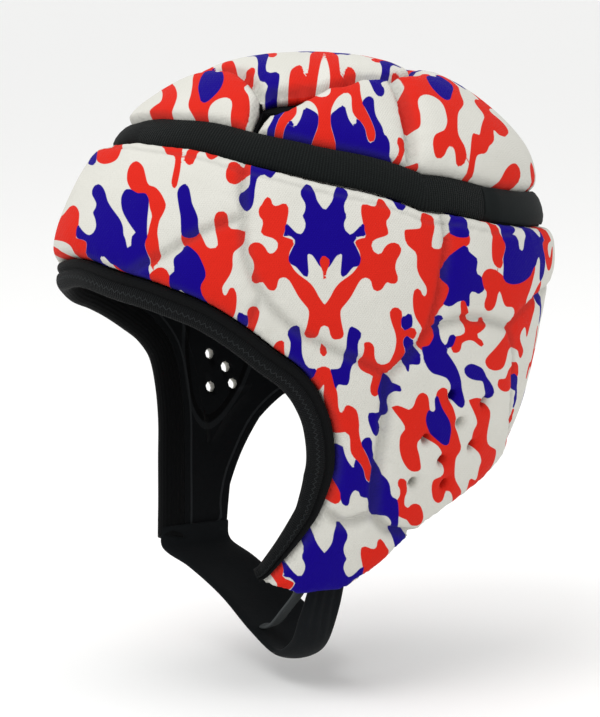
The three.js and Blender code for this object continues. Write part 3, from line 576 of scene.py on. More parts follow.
def holeRing(turn, reach, radius, sides=20):
    centre = chartOf(np.array([turn]), np.array([reach]))
    east, north = formSlopes(centre)
    angles = np.arange(sides) * 2 * math.pi / sides
    # unit steps on the surface, back in chart steps
    along = east[0] / np.linalg.norm(east[0])
    across = north[0] - along * (north[0] @ along)
    tall = np.linalg.norm(across)
    steps = []
    for angle in angles:
        goal = math.cos(angle) * along + math.sin(angle) * across / tall
        rise = (goal @ across) / tall ** 2
        run = (goal @ along - rise * (north[0] @ along)) / np.linalg.norm(east[0])
        steps.append((run, rise))
    return centre + np.array(steps) * radius


def cutAway(thing, cutters):
    pick(cutters[0])
    for cutter in cutters:
        cutter.select_set(True)
    bpy.ops.object.join()
    tool = bpy.context.object
    cut = thing.modifiers.new("cut", "BOOLEAN")
    cut.operation = "DIFFERENCE"
    cut.solver = "EXACT"
    cut.object = tool
    applyAll(thing)
    bpy.data.objects.remove(tool)


def earCutters(low, high, near, far):
    return [makeCutter(holeRing(turn, reach, near if turn > 0 else far), low, high)
            for turn, reach in cover["earHoles"]]


printedCover = makeCover()
ventRing = chartOf(*np.array(vent).T)
cutAway(printedCover, earCutters(-3, cover["through"], cover["holes"]["near"], cover["holes"]["far"])
        + [makeCutter(ventRing * side, 0.15, cover["through"]) for side in ((1, 1), (-1, 1))])
print("cover made:", len(printedCover.data.polygons), "faces")


# the camouflage print, charted: one repeat, in steps of 0.423 mm from its mirror line
printChart = {
    "step": 0.4227, "mirrorAt": 324, "repeat": 340, "width": 286, "rollFrom": 75, "halfRight": 251.3,
    "halfLeft": 232.3, "crownTop": 11,
    "red": [
        [(316, 31), (326, 30.5), (331, 33), (333, 40), (336, 50), (338, 57), (339, 67), (340.5, 75),
         (343.5, 78), (345.5, 71), (349, 68.5), (357, 73.5), (359.5, 86), (359.5, 94), (361, 103),
         (364, 111.5), (369, 121), (373, 131), (374.5, 138), (373.5, 144), (370, 145.5), (366.5, 141),
         (364, 132.5), (360.5, 126.5), (356, 122.5), (352, 116.5), (351, 110), (350.5, 100), (346, 96),
         (341, 98), (336.5, 102), (333, 108), (330.5, 116), (330.5, 130), (333, 137), (336, 144),
         (341, 153), (342.5, 161), (338, 167.5), (331, 166.5), (316, 160)],
        [(398, 140), (403, 140), (405.5, 143), (406.5, 149), (405.5, 153), (403.5, 158), (403, 164),
         (404.5, 168), (407, 168), (410, 165), (414, 164), (418, 165.5), (420.5, 170), (422, 177),
         (421.5, 183), (418, 187), (413, 187.5), (409, 185), (406, 181), (398, 177.5), (394, 173),
         (391.5, 168), (396, 161), (398.5, 156), (398.5, 150), (396.5, 146)],
        [(393, 72), (394, 69.5), (397, 68), (402, 69), (406, 71), (409, 70.5), (412, 67), (414, 61),
         (417, 56), (421, 54), (425, 56), (427, 61), (428.5, 72), (433.5, 71), (434.5, 55), (439, 49.5),
         (442.5, 49), (446, 51.5), (450, 64), (454.5, 79), (455.5, 88), (457, 98), (459.5, 107),
         (458.5, 112), (455, 117), (453.5, 122), (453, 132), (454, 140), (457, 146), (460, 151),
         (462, 157), (463, 162), (461.5, 167), (458, 169.5), (455, 169), (453, 165), (451.5, 159),
         (449.5, 153.5), (446.5, 151), (443.5, 154), (441.5, 159), (439, 162), (436, 163), (432.5, 161),
         (430.5, 157), (429.5, 150), (430, 144), (432, 140), (436, 138), (440, 136), (442, 132),
         (443, 127), (442, 120), (440, 113), (437, 108), (433, 104.5), (428, 102), (423, 101),
         (419, 101.5), (416.5, 104), (416, 109), (417.5, 115), (418.5, 122), (419, 128), (417.5, 131.5),
         (413, 132.5), (408.5, 131.5), (404.5, 127.5), (401, 121), (399, 113), (398.5, 105),
         (399.5, 98), (402, 93.5), (404, 90), (402.5, 86), (399.5, 81)],
        [(467, 62), (469, 60), (475, 58.5), (481, 60), (485, 63), (487, 68), (488, 76), (487, 84),
         (485.5, 92), (485, 100), (487, 105), (492, 108), (498, 112), (502, 119), (503, 129),
         (500, 138), (497, 139), (493, 138), (488.5, 133.5), (489, 143), (487, 148), (484, 151),
         (482.5, 155), (480, 158), (476, 158.5), (473, 160), (472, 164), (472.5, 170), (474, 178),
         (475.5, 187), (474, 192), (471, 192), (469, 186), (467, 176), (466, 165), (466, 155),
         (466.5, 147), (467.5, 140), (470, 138.5), (474.5, 140), (476, 133), (477.5, 127), (479.5, 121),
         (478, 115), (474, 109), (471, 103), (470.5, 96), (472, 90), (474.5, 85), (474.5, 80),
         (472, 73)],
        [(403, 235), (404, 233), (408, 232.5), (418, 231.5), (420, 228), (420.5, 220), (422, 216),
         (425, 214.8), (430, 215.5), (433, 219), (434.5, 225), (433.5, 232), (431.5, 240), (430.5, 246),
         (431, 250.5), (435, 251.5), (439, 251.5), (442, 249), (444.5, 244), (447.5, 238), (451, 233.5),
         (456, 230), (459, 229), (462, 230), (465, 234), (467.5, 240), (467, 246), (464, 249),
         (458, 253), (453, 256), (449, 261), (446, 268), (444, 276), (444, 281), (446, 285), (450, 288),
         (453.5, 290.5), (454.5, 294.5), (453, 298), (449, 302), (444, 306), (440, 312), (436.5, 320),
         (435, 328), (434.5, 338), (433.5, 345), (431, 350.5), (427, 353), (423, 353.5), (420, 351),
         (419, 347), (420, 340), (421.5, 331), (419, 327), (415, 321), (412.5, 314), (411.5, 306),
         (411.5, 299), (413, 293), (416, 291), (419, 292.5), (421, 297), (423, 299), (425, 297.5),
         (426, 293), (425, 289), (421, 283), (417.5, 277), (415.5, 270), (415.5, 262), (414.5, 256),
         (411, 252.5), (407, 249), (404, 244)],
        [(461, 300.5), (463.5, 301), (466, 309), (468.5, 314), (469.5, 320), (471.5, 323.5),
         (480, 323.5), (482.5, 320.5), (485.5, 319.5), (487, 322.5), (486.5, 327), (484, 330.5),
         (479.5, 333.5), (476, 336), (476.5, 339), (480, 341.5), (482, 345), (480.5, 348), (477.5, 347),
         (474, 344), (470, 342), (466, 342), (462, 343.5), (459.5, 346), (459, 350), (457, 353.5),
         (453, 354.5), (450, 353), (449, 348), (450, 343), (453, 338.5), (458, 337.5), (462, 336),
         (464, 332), (463.5, 326), (462.5, 320), (460, 313), (458.5, 307), (459, 302.5)],
        [(510, 165), (506, 167.5), (503, 172), (501, 180), (499.5, 186), (497, 189.5), (492, 191),
         (487, 196), (483, 203), (481, 210), (484, 218), (487.5, 224), (489.5, 232), (490, 238),
         (489, 246), (489, 256), (490, 263), (492.5, 267.5), (496, 270), (498.5, 269), (500, 265),
         (499.5, 261), (501, 256), (502.5, 250), (502, 243), (499.5, 238), (498, 231), (496, 224),
         (495, 219), (497, 212), (498, 205), (500, 199), (505, 197.5), (509, 197.5), (514, 195),
         (517.5, 190), (519.5, 184), (519, 176), (517, 170), (513.5, 166)],
        [(478.5, 285), (479, 279), (482, 273), (487, 270.5), (492, 271.5), (497, 274.5), (501, 278),
         (504, 281.5), (508, 284), (513, 283), (518, 279.5), (523, 275.5), (526.5, 271), (529, 265),
         (531.5, 261), (534, 260), (536.5, 262.5), (537.5, 267), (536, 273), (533, 279), (530, 286),
         (526.5, 294), (525, 300), (526, 305), (528.5, 308), (532, 307), (536.5, 303), (541, 296),
         (546, 288), (550, 283.5), (555, 281), (558, 287), (557, 300), (552, 316), (545, 330),
         (540, 339), (536, 332), (533.5, 328.5), (530, 329), (525, 332), (522.5, 336), (523.5, 341),
         (527, 345), (532, 348.5), (535.5, 352), (534, 357), (530.5, 359.5), (526, 358), (522, 354),
         (518, 350.5), (513, 348.5), (508.5, 349.5), (506.5, 353), (505, 359), (502.5, 366), (499, 370),
         (493, 371.5), (487, 369.5), (484, 365.5), (483.5, 361.5), (486, 357), (492, 350.5),
         (499, 342.5), (505, 335), (510, 328), (513, 321), (513.5, 314), (511, 309), (508, 308),
         (504, 308), (501, 305), (499, 299), (497.5, 294), (496.5, 293), (495, 296), (494, 302),
         (492, 309), (489, 312.5), (485.5, 312), (482.5, 308.5), (482.5, 303), (484, 298), (483.5, 292),
         (480, 289)],
        [(496, 382), (497.5, 379.5), (503, 379), (505, 375), (507, 370), (512, 366), (517, 363.5),
         (521, 363.5), (525, 366), (529, 370), (530, 375), (526, 379.5), (520, 379), (515, 381),
         (512, 386), (508, 391), (503, 392), (498, 390), (495.5, 386)],
        [(526, 147), (526, 155), (529, 162), (535, 166), (543, 167), (549, 164), (550, 158), (549, 152),
         (543, 149), (537, 147), (533, 141), (529, 138), (526, 141)],
        [(573, 208), (569, 210), (566.5, 216), (567, 224), (568, 235), (571, 240), (563, 243),
         (560.5, 246), (562, 251), (565, 256), (568, 264), (574, 270), (584, 270), (592, 263),
         (597, 252), (597, 246), (591, 250), (586, 256), (582, 258), (578, 254), (578, 248), (583, 244),
         (590, 242), (595, 240), (593, 232), (588, 222), (582, 216), (577, 210)],
        [(361, 208.5), (365, 207.5), (370, 209.5), (373, 210), (376, 208), (377, 204), (380, 200.5),
         (384, 204), (386, 208), (389, 212), (389.5, 217), (388, 221), (385.5, 224), (385.5, 229),
         (387, 234), (387, 237), (385, 239), (381, 240.5), (376, 242), (372, 244.5), (370.5, 248),
         (371, 252), (374, 256), (377.5, 257.5), (380.5, 256), (382.5, 252), (386, 248), (391, 245.8),
         (395.5, 246.5), (399, 249), (400, 253), (398.5, 258), (395.5, 263), (394, 269), (394.5, 274),
         (396.5, 279), (396.5, 284), (394, 286.5), (390.5, 287), (386.5, 285), (383.5, 288), (381, 292),
         (377.5, 294), (374, 294), (371.5, 291), (370.5, 286), (369, 282.5), (366, 281), (362, 281.5),
         (358.5, 285), (354.5, 292), (350, 300), (345, 306.5), (340.5, 312), (339.5, 317), (340.5, 325),
         (342, 332), (343, 337), (341.5, 341), (337, 342.5), (332.5, 342), (330, 338.5), (329, 334),
         (327.5, 330), (324.5, 328.5), (316, 328.5), (316, 300), (324, 307.5), (327, 304), (330, 299.5),
         (334, 292), (339, 286), (345, 281.5), (351, 277), (356, 271), (358.5, 266), (359.5, 260),
         (358, 254), (355, 249), (354, 245), (357, 243), (362, 241.5), (365, 241), (365, 239),
         (363.5, 235), (362.5, 230), (361, 223), (360, 217), (360, 212)],
        [(324, 347), (326, 350), (328, 354), (327, 357.5), (324, 360), (316, 357), (316, 350)],
        [(363, 346), (365, 344.5), (368, 344.5), (371.5, 346.5), (373.5, 350.5), (374, 357), (375, 362),
         (377.5, 366), (381, 367.5), (386, 366.5), (390, 362.5), (393, 356), (394.5, 349), (395, 342),
         (393.5, 334), (391, 327), (389, 320), (388.5, 315), (390.5, 311.5), (394, 310), (398, 311),
         (400.5, 314), (401, 319), (400, 328), (401, 332), (404, 332.5), (407, 331), (410, 330),
         (413, 330.5), (415.5, 333), (416.5, 336.5), (415, 340), (412.5, 342), (407, 339), (404.5, 339),
         (402.5, 342), (402.5, 347), (404.5, 352), (405, 357), (403.5, 361), (402, 364), (399, 367),
         (394, 372), (389, 377), (386, 380), (384, 384), (382, 390), (380.5, 395), (379, 399),
         (376, 400), (373, 399), (371, 395), (371, 389), (373, 383), (374, 380.5), (371.5, 378),
         (366, 376), (361, 372.5), (359, 368), (360.5, 364), (362.5, 359), (363.5, 352)],
    ],
    "white": [[(324, 47), (325.5, 58), (328, 68), (330, 78), (331, 88), (330, 94), (327, 97.5),
               (320, 98.5), (316, 90), (316, 60)]],
    "blue": [
        [(331, 118), (335, 114.5), (340, 110.5), (343, 109), (344.5, 111), (346, 117), (348.5, 124),
         (352, 129), (354.5, 131), (356, 122.5), (360.5, 126.5), (364, 132.5), (366, 140), (368.5, 145),
         (371.5, 146), (374, 143), (374.5, 138), (373, 131), (369, 121), (364, 111.5), (361.5, 107.5),
         (363, 103.5), (367, 100.5), (371, 101), (373, 104), (373.5, 110), (374.5, 117), (377, 123),
         (380, 128), (382, 133), (383, 138), (386, 140), (389, 146), (390, 152), (391, 158),
         (396, 160.5), (397.5, 170), (398, 180), (399, 189), (403, 192), (407, 194), (409.5, 200),
         (408.5, 206), (404, 212), (400, 214), (396, 210), (394, 202), (393, 192), (391, 183),
         (388, 179), (385, 178), (382, 179), (379, 181.5), (376, 180.5), (372, 174), (370, 167),
         (368.5, 161.5), (364, 160.5), (361, 159), (359.5, 155), (356, 153), (352.5, 156), (350.5, 161),
         (349.5, 167), (347, 169), (343.5, 167.5), (341.5, 163), (341.5, 157), (339, 151), (336, 144),
         (333, 137), (330.5, 130), (330, 122)],
        [(384, 41), (387, 38), (390.5, 39.5), (392.5, 43), (394, 47), (398, 47), (401, 50), (400.5, 54),
         (396, 54), (393, 56), (391, 60), (390, 66), (390.5, 74), (388.5, 79.5), (385, 82), (381.5, 85),
         (380.5, 87.5), (383, 90), (384, 94), (383, 98), (380.5, 100.5), (377, 100), (373.5, 96),
         (371, 90), (369, 84), (368.5, 79), (370, 76), (374, 76), (378, 76.5), (381, 75), (382, 71),
         (381, 65), (379.5, 59), (379, 54), (381, 48)],
        [(427, 71), (425, 75), (424, 81), (425.5, 88), (429, 94), (434, 99.5), (439, 104), (443, 106),
         (446.5, 105), (448, 100), (449.5, 92), (449, 86), (447, 80), (444, 75), (441, 70), (438.5, 64),
         (436.5, 58), (434.5, 56.5), (433, 59), (433, 65), (433.5, 71), (431, 73)],
        [(465, 248), (466, 253), (470, 257), (474, 260), (475, 265), (474, 272), (475, 276),
         (479, 278.5), (480, 285), (482, 292), (479, 294), (476, 296), (473.5, 294.5), (470, 293.5),
         (467.5, 296), (467.5, 301), (468, 307), (466.5, 310), (463, 303), (459, 303), (455, 304.5),
         (452, 307), (449, 308.5), (446, 308.5), (442.5, 306), (446, 300), (448, 290), (443, 281),
         (443, 274), (446, 266), (450, 258), (456, 252), (462, 248)],
        [(461, 188.5), (458, 193), (456.5, 200), (455, 208), (452, 215), (449.8, 222), (450, 229),
         (450.5, 236), (458, 240), (466.3, 239), (466.8, 230), (467, 220), (468.5, 210), (470, 198),
         (468, 192), (464.5, 189)],
        [(436.5, 319), (438, 317.5), (441, 318), (443.5, 321), (442.5, 326), (440.5, 331), (439.5, 337),
         (440.5, 343), (443.5, 347), (445.5, 344.5), (447.5, 339.5), (449.5, 337), (452, 336),
         (454.5, 338), (453, 343), (450.5, 348), (444.5, 352), (447, 357), (451, 363), (455, 370),
         (458, 378), (460, 388), (462, 398), (463, 404), (461, 408.5), (457, 408), (453, 403),
         (450, 397), (449.5, 391), (448, 385), (445, 380), (441, 378), (436, 376.5), (431, 375),
         (427, 371), (424, 365), (422.5, 358), (422, 350), (428, 348), (432, 342), (434, 335),
         (435, 326)],
        [(466, 366), (470, 365), (475, 366.5), (480, 369), (483, 373), (485, 378), (488.5, 383),
         (491.5, 389), (492, 394), (490, 398), (487.5, 400), (484.5, 397), (482.5, 391), (481.5, 385),
         (480, 382), (475, 381.5), (469, 380), (464, 376.5), (462, 372), (463, 368.5)],
        [(500, 230), (499.5, 222), (498, 210), (498, 203), (501, 197.5), (505, 197), (509, 197),
         (514, 194), (518, 192.5), (522, 194), (525, 200), (525.5, 207), (524, 215), (520, 223),
         (515, 231), (511, 237), (514, 238), (515.5, 243), (516, 249), (518, 253), (520, 250),
         (521, 243), (523, 238), (523.5, 231), (526, 224), (530, 218), (535, 211), (539, 204),
         (541, 196), (544, 190), (548, 187), (551, 188), (554, 193), (554, 198), (552, 202), (550, 207),
         (551, 212), (553, 216), (551, 222), (550, 229), (552, 235), (556, 238), (560, 237), (564, 233),
         (568, 228), (570, 240), (563, 243), (560.5, 246), (562, 251), (565, 256), (566, 262),
         (563, 270), (560, 276), (555, 281), (551, 281.5), (548.5, 279), (548, 272), (549, 265),
         (549, 258.5), (547, 258), (543, 260.5), (539, 266), (535, 268), (531, 272), (524, 280),
         (515, 285), (506, 285), (500.5, 280), (500.5, 268), (500, 261), (501, 256), (502.5, 250),
         (502, 245), (500, 241), (500, 236)],
        [(550, 153), (556, 156), (559, 160), (558, 166), (554, 168), (551, 166), (549.5, 160)],
        [(340, 187), (337, 189.5), (334, 195), (332, 203), (329, 208.5), (324, 214.5), (316, 222),
         (316, 272), (326, 272), (328.5, 270.5), (331, 267), (334, 262), (337, 258.5), (340.5, 257.5),
         (341, 261), (340.5, 268), (340, 277), (341.5, 280.5), (344, 280), (347, 277), (351, 272),
         (355, 269), (357.5, 270), (360, 262), (357, 254), (354, 248), (353, 245), (358, 240),
         (365, 240), (363.5, 235), (362.5, 227), (355, 234), (351, 237.5), (347.5, 238), (344.5, 234),
         (343, 229), (344, 224), (346, 220), (344, 216), (343, 211), (344, 206), (347, 201), (348, 196),
         (346, 192), (343, 188)],
        [(351, 329), (354, 330.5), (358, 333), (360.5, 336.5), (359.5, 341), (357.5, 345), (357.5, 352),
         (358.5, 359), (358.5, 365), (357, 367), (354, 367.5), (352, 370.5), (350.5, 376), (350, 382),
         (348.5, 387), (346.5, 389), (343.5, 388.5), (341.5, 387.5), (338.5, 389), (336.5, 393),
         (334, 386), (332.5, 380), (331.5, 376), (330, 372.5), (335, 372.5), (340, 371.5), (342, 368),
         (344, 363), (345.5, 358), (346, 350), (346, 342), (347, 335), (348.5, 330.5)],
        [(401, 319), (404, 318.5), (407, 316), (409.5, 316), (411, 319), (411.5, 324), (411, 329),
         (408, 331), (404.5, 332.8), (401.5, 332), (400, 328), (400, 322)],
        [(402.5, 342), (404.5, 339), (407, 338.5), (410, 341), (412.5, 342), (415, 347), (418, 353),
         (420, 359), (420, 364), (418, 367), (413, 367), (409.5, 367), (409.3, 371), (408, 374.5),
         (406, 372), (404.5, 366), (402.5, 363), (405, 357), (404.5, 351), (402.5, 347)],
    ],
    "vent": [(259.5, 94), (264, 97.5), (272, 99.5), (288, 99.5), (301, 95.5), (292, 101), (284, 104),
             (276, 106), (269, 110.5), (262, 116), (253.5, 124), (256, 112)],
    # shapes that come again where the photo shows no cloth: colour, row, and how far right and down
    "again": [("red", 1, 138, -70), ("blue", 1, 200, 10), ("red", 5, 115, 25), ("blue", 6, 95, -75),
              ("blue", 6, 50, -330), ("red", 8, 70, -290)],
    # a small drop that lies over the blue star
    "drop": [[(324, 260), (326, 259.5), (328, 262), (329, 266), (327.5, 271), (325.5, 277),
              (325.5, 283.5), (324, 282), (316, 282), (316, 262)]],
}


def roundLoop(stops, between=4):
    # a closed curve through charted points
    points = np.array(stops, dtype=float)
    before, after, later = (np.roll(points, k, axis=0) for k in (1, -1, -2))
    rows = []
    for t in np.arange(between) / between:
        bend = 2 * before - 5 * points + 4 * after - later
        rows.append(0.5 * (2 * points + (after - before) * t + bend * t ** 2
                           + (3 * points - before - 3 * after + later) * t ** 3))
    return np.stack(rows, axis=1).reshape(-1, 2)


def insideBy(places, loop):
    # the distance to a closed line, above zero inside it
    best = np.full(len(places), 1e9)
    odd = np.zeros(len(places), dtype=bool)
    for a, b in zip(loop, np.roll(loop, -1, axis=0)):
        way = b - a
        rest = places - a
        share = np.clip((rest @ way) / (way @ way + 1e-12), 0, 1)
        best = np.minimum(best, np.hypot(*(rest - share[:, None] * way).T))
        crosses = (a[1] > places[:, 1]) != (b[1] > places[:, 1])
        if abs(way[1]) > 1e-12:
            odd ^= crosses & (rest[:, 0] < way[0] * rest[:, 1] / way[1])
    return np.where(odd, best, -best)


def printPlaces(points, above):
    # where each place on the cap falls on the cloth, in chart steps
    right, up, towards = (np.array(axis) for axis in viewAxes(cameraView))
    rest = points - np.array(cameraView["aim"])
    scale = cameraView["distance"] / (cameraView["distance"] - rest @ towards)
    across = (rest @ right) * scale * 1000
    rise = (rest @ up) * scale * 1000
    near = rest[:, 0] * towards[0] * 1000 + rest[:, 1] * towards[1] * 1000
    # beyond the outline that the camera sees, the cloth rolls on over the crown, or round the head to a seam
    drop = printChart["crownTop"] - points[:, 2] * 1000
    beyond = 0.8 * softPlus(6 - near, 5) + 1.5 * drop * smoothRamp(-near, 0, 80)
    rise = rise + above * beyond
    reach = np.hypot(across, near)
    angle = np.abs(np.arctan2(across, near))
    edge = math.radians(printChart["rollFrom"])
    total = np.where(across > 0, printChart["halfRight"], printChart["halfLeft"])
    rolled = reach * math.sin(edge) + (total - reach * math.sin(edge)) * (angle - edge) / (math.pi - edge)
    across = np.where((angle > edge) & ~above, np.sign(across) * rolled, across)
    return np.stack([301.5 + across / printChart["step"], 314 - rise / printChart["step"]], axis=1)


def printFields(mesh, chart):
    above = np.hypot(chart[:, 0], chart[:, 1]) < bandReachAt(chart)
    places = printPlaces(onForm(chart, cover["printLift"]), above)
    writeField(mesh, "clothEast", places[:, 0] * printChart["step"])
    writeField(mesh, "clothSouth", places[:, 1] * printChart["step"])
    east = np.abs(places[:, 0] - printChart["mirrorAt"])
    east = printChart["width"] - np.abs(printChart["width"] - east % (2 * printChart["width"]))
    south = (places[:, 1] - 45) % printChart["repeat"] + 45
    for colour in ("red", "white", "blue", "drop"):
        field = np.full(len(places), -1e9)
        loops = [roundLoop(stops) for stops in printChart[colour]]
        loops += [loops[row] + (right, down)
                  for name, row, right, down in printChart["again"] if name == colour]
        for loop in loops:
            for shift in (-printChart["repeat"], 0, printChart["repeat"]):
                low = loop.min(axis=0) + (-12, shift - 12)
                high = loop.max(axis=0) + (12, shift + 12)
                near = (south > low[1]) & (south < high[1])
                near &= (east > low[0] - printChart["mirrorAt"]) & (east < high[0] - printChart["mirrorAt"])
                if near.any():
                    spot = np.stack([east[near] + printChart["mirrorAt"], south[near]], axis=1)
                    field[near] = np.maximum(field[near], insideBy(spot, loop + (0, shift)))
        # painted light: the print is taken off round the far ear holes, so their walls show white where light
        # comes through them
        field = np.where(chart[:, 0] < 0, np.minimum(field, holeGap(chart) - 8), field)
        writeField(mesh, colour + "Field", np.clip(field, -12, 12) * printChart["step"])
    # painted shade: near-black on the cover's surface where, seen from the camera, the vent's opening lies in
    # shade
    writeField(mesh, "paintedVentShade", insideBy(places, roundLoop(printChart["vent"])) * printChart["step"])


def holeGap(chart):
    # how far each place is from the nearest ear hole, in print steps
    gap = np.full(len(chart), 99.0)
    for turn, reach in cover["earHoles"]:
        centre = formPoints(chartOf(np.array([turn]), np.array([reach])))[0]
        gap = np.minimum(gap, np.linalg.norm(formPoints(chart) - centre, axis=1))
    return gap / printChart["step"]


printFields(printedCover.data, toChart(readPoints(printedCover.data))[0])
print("print charted")


# lining
lining = {"wall": 1.2, "earPatch": [(82.5, 1.4), (82.5, 1.32), (84, 1.24), (90, 1.17), (98, 1.17),
                                    (104, 1.24), (104, 1.33), (100.5, 1.42), (98, 1.49), (93, 1.57),
                                    (88, 1.6), (84, 1.54)]}


def makeLining():
    shell, chart, outside = makeShell("innerLining", -lining["wall"], 0)
    mesh = shell.data
    places = formPoints(chart)
    rimGap = np.full(len(chart), 99.0)
    for kind, line in seamLines():
        if kind == "rim":
            rimGap = np.minimum(rimGap, distanceTo(line, places)[0])
    writeField(mesh, "rimGap", rimGap)
    patch = roundLoop([tuple(chartOf(turn, reach)) for turn, reach in lining["earPatch"]])
    mirrored = np.stack([np.abs(chart[:, 0]), chart[:, 1]], axis=1)
    writeField(mesh, "earPatch", insideBy(mirrored, patch) * 78)
    return shell


innerLining = makeLining()
cutAway(innerLining, earCutters(-6, 3, cover["holes"]["lining"], cover["holes"]["lining"]))
print("lining made")


# ribbons: a grid is laid along a route, then wrapped to its frames
def gridStrip(name, along, across):
    deselectAll()
    bpy.ops.mesh.primitive_grid_add(x_subdivisions=along, y_subdivisions=across, size=1, calc_uvs=True)
    strip = bpy.context.object
    strip.name = name
    flat = readPoints(strip.data)
    return strip, flat[:, 0] + 0.5, flat[:, 1] + 0.5


def closeStrip(strip):
    pick(strip)
    bpy.ops.object.mode_set(mode="EDIT")
    bpy.ops.mesh.select_all(action="SELECT")
    bpy.ops.mesh.remove_doubles(threshold=0.00001)
    bpy.ops.mesh.fill_holes(sides=0)
    bpy.ops.mesh.normals_make_consistent(inside=False)
    bpy.ops.object.mode_set(mode="OBJECT")
    bpy.ops.object.shade_smooth()


def sampleRows(rows, share):
    index = share * (len(rows) - 1)
    low = np.clip(np.floor(index).astype(int), 0, len(rows) - 2)
    t = (index - low)[:, None]
    return rows[low] * (1 - t) + rows[low + 1] * t


def sweepLoop(name, chart, section, closed, growth=None, sink=None):
    # a closed section swept along a route on the form; the grid's v runs round the section
    count = len(chart)
    strip, u, v = gridStrip(name, count - 1, len(section))
    points, normals, out = routeFrames(chart, closed)
    point = sampleRows(points, u)
    normal = sampleRows(normals, u)
    sideways = sampleRows(out, u)
    profile = sampleRows(np.vstack([section, section[0]]), v)
    size = np.ones(len(u)) if growth is None else np.interp(u, growth[0], growth[1])
    rise = profile[:, 1] if sink is None else profile[:, 1] + np.interp(u, np.linspace(0, 1, len(sink)), sink)
    moved = point + sideways * (profile[:, :1] * size[:, None]) + normal * rise[:, None]
    writePoints(strip.data, moved / 1000)
    closeStrip(strip)
    return strip


binding = {
    "width": 11, "thick": 7.6, "gap": 0.35, "wall": 1.2,
    # out from the rim and up from the lining's inner face, as shares of the width and the thickness
    "section": [(0.0, 0.02), (0.3, -0.02), (0.6, -0.01), (0.88, 0.12), (1.0, 0.36), (0.98, 0.62),
                (0.86, 0.82), (0.68, 0.93), (0.5, 0.94), (0.4, 0.85), (0.34, 0.86), (0.26, 0.97),
                (0.13, 1.0), (0.02, 0.9),
                (0.0, 0.6), (0.02, 0.3)],
    "route": [(61.2, 1.965), (63.9, 1.943), (68.5, 1.868), (72.5, 1.783), (74.3, 1.72), (75.3, 1.595),
              (72.7, 1.447), (68.9, 1.342), (64.5, 1.265), (57.8, 1.192), (51, 1.116), (41.7, 1.04),
              (32.5, 0.999), (21, 0.967), (12, 0.95), (0, 0.935), (-12, 0.95), (-21, 0.967),
              (-32.5, 0.999), (-41.7, 1.04), (-51, 1.075), (-59, 1.12), (-66, 1.175), (-73, 1.245),
              (-78, 1.34), (-80, 1.46), (-80.6, 1.6), (-80, 1.72), (-79, 1.86), (-77.5, 1.99)],
}


def makeBinding():
    chart, length = evenRoute(smoothRoute(binding["route"]), 420)
    section = roundLoop([(out * binding["width"] + binding["gap"], rise * binding["thick"] - binding["wall"])
                         for out, rise in binding["section"]], 3)
    strip = sweepLoop("faceBinding", chart, section, False, ([0, 0.12, 1], [0.3, 1, 1]))
    return strip, length


faceBinding, bindingLength = makeBinding()
band = {"width": 15, "thick": 1.6, "lift": 6.9, "frontLift": 5.6, "rearSink": 1.9, "slim": 0.2,
        "turns": (112, 166), "overlapWidth": 14, "overlapThick": 1.2, "overlapGap": 0.35}


def makeBand():
    ring = seams[0][1] + [(-turn, reach) for turn, reach in rightSeams[0][1][-2:0:-1]]
    chart, length = evenRoute(smoothRoute(ring, closed=True), 400, closed=True)
    half = band["width"] / 2
    low = band["lift"]
    high = low + band["thick"]
    section = np.array([(-half, low - 1.0), (-half / 2, low), (0, low + 0.2), (half / 2, low),
                        (half, low - 1.0), (half + 0.2, low - 0.5), (half, low + 0.1),
                        (half - 1.2, high - 0.7), (half / 2, high), (0, high + 0.3), (-half / 2, high),
                        (-half + 1.2, high - 0.7), (-half, low + 0.1), (-half - 0.2, low - 0.5)])
    turn = np.degrees(np.abs(np.arctan2(chart[:, 0], -chart[:, 1])))
    sink = (band["frontLift"] - band["lift"]) * (1 - smoothRamp(turn, 35, 75))
    sink = sink - band["rearSink"] * smoothRamp(turn, 95, 125)
    signed = np.degrees(np.arctan2(chart[:, 0], -chart[:, 1]))
    slim = 1 - band["slim"] * smoothRamp(signed, -95, -50) * (1 - smoothRamp(signed, -12, 20))
    growth = (np.linspace(0, 1, len(chart)), slim)
    return sweepLoop("headBand", chart, section, True, growth, sink), length


headBand, bandLength = makeBand()


def makeOverlap():
    route = smoothRoute(seams[0][1])
    turn = np.degrees(np.arctan2(route[:, 0], -route[:, 1]))
    part = route[(turn > band["turns"][0]) & (turn < band["turns"][1])]
    chart, length = evenRoute(part, 120)
    low = band["lift"] + band["thick"] + band["overlapGap"]
    high = low + band["overlapThick"]
    half = band["overlapWidth"] / 2
    section = np.array([(-half, low - 1.1), (-half / 2, low), (0, low + 0.2), (half / 2, low),
                        (half, low - 1.1), (half + 0.2, low - 0.6), (half - 0.8, high - 1.0),
                        (half - 2.6, high - 0.3), (half / 2, high), (0, high + 0.3), (-half / 2, high),
                        (-half + 2.6, high - 0.3), (-half + 0.8, high - 1.0), (-half - 0.2, low - 0.6)])
    marks = np.linspace(0, 1, 60)
    rounded = np.sqrt(np.clip(1 - np.clip((marks - 0.9) / 0.1, 0, 1) ** 2, 0.002, 1))
    # its start is sewn in under the web's face
    turn = np.interp(marks, (0, 1), band["turns"])
    sink = -1.3 * (1 - smoothRamp(marks, 0, 0.12)) - band["rearSink"] * smoothRamp(turn, 95, 125)
    return sweepLoop("bandOverlap", chart, section, False, (marks, rounded), sink), length


bandOverlap, overlapLength = makeOverlap()
print("binding and band made")


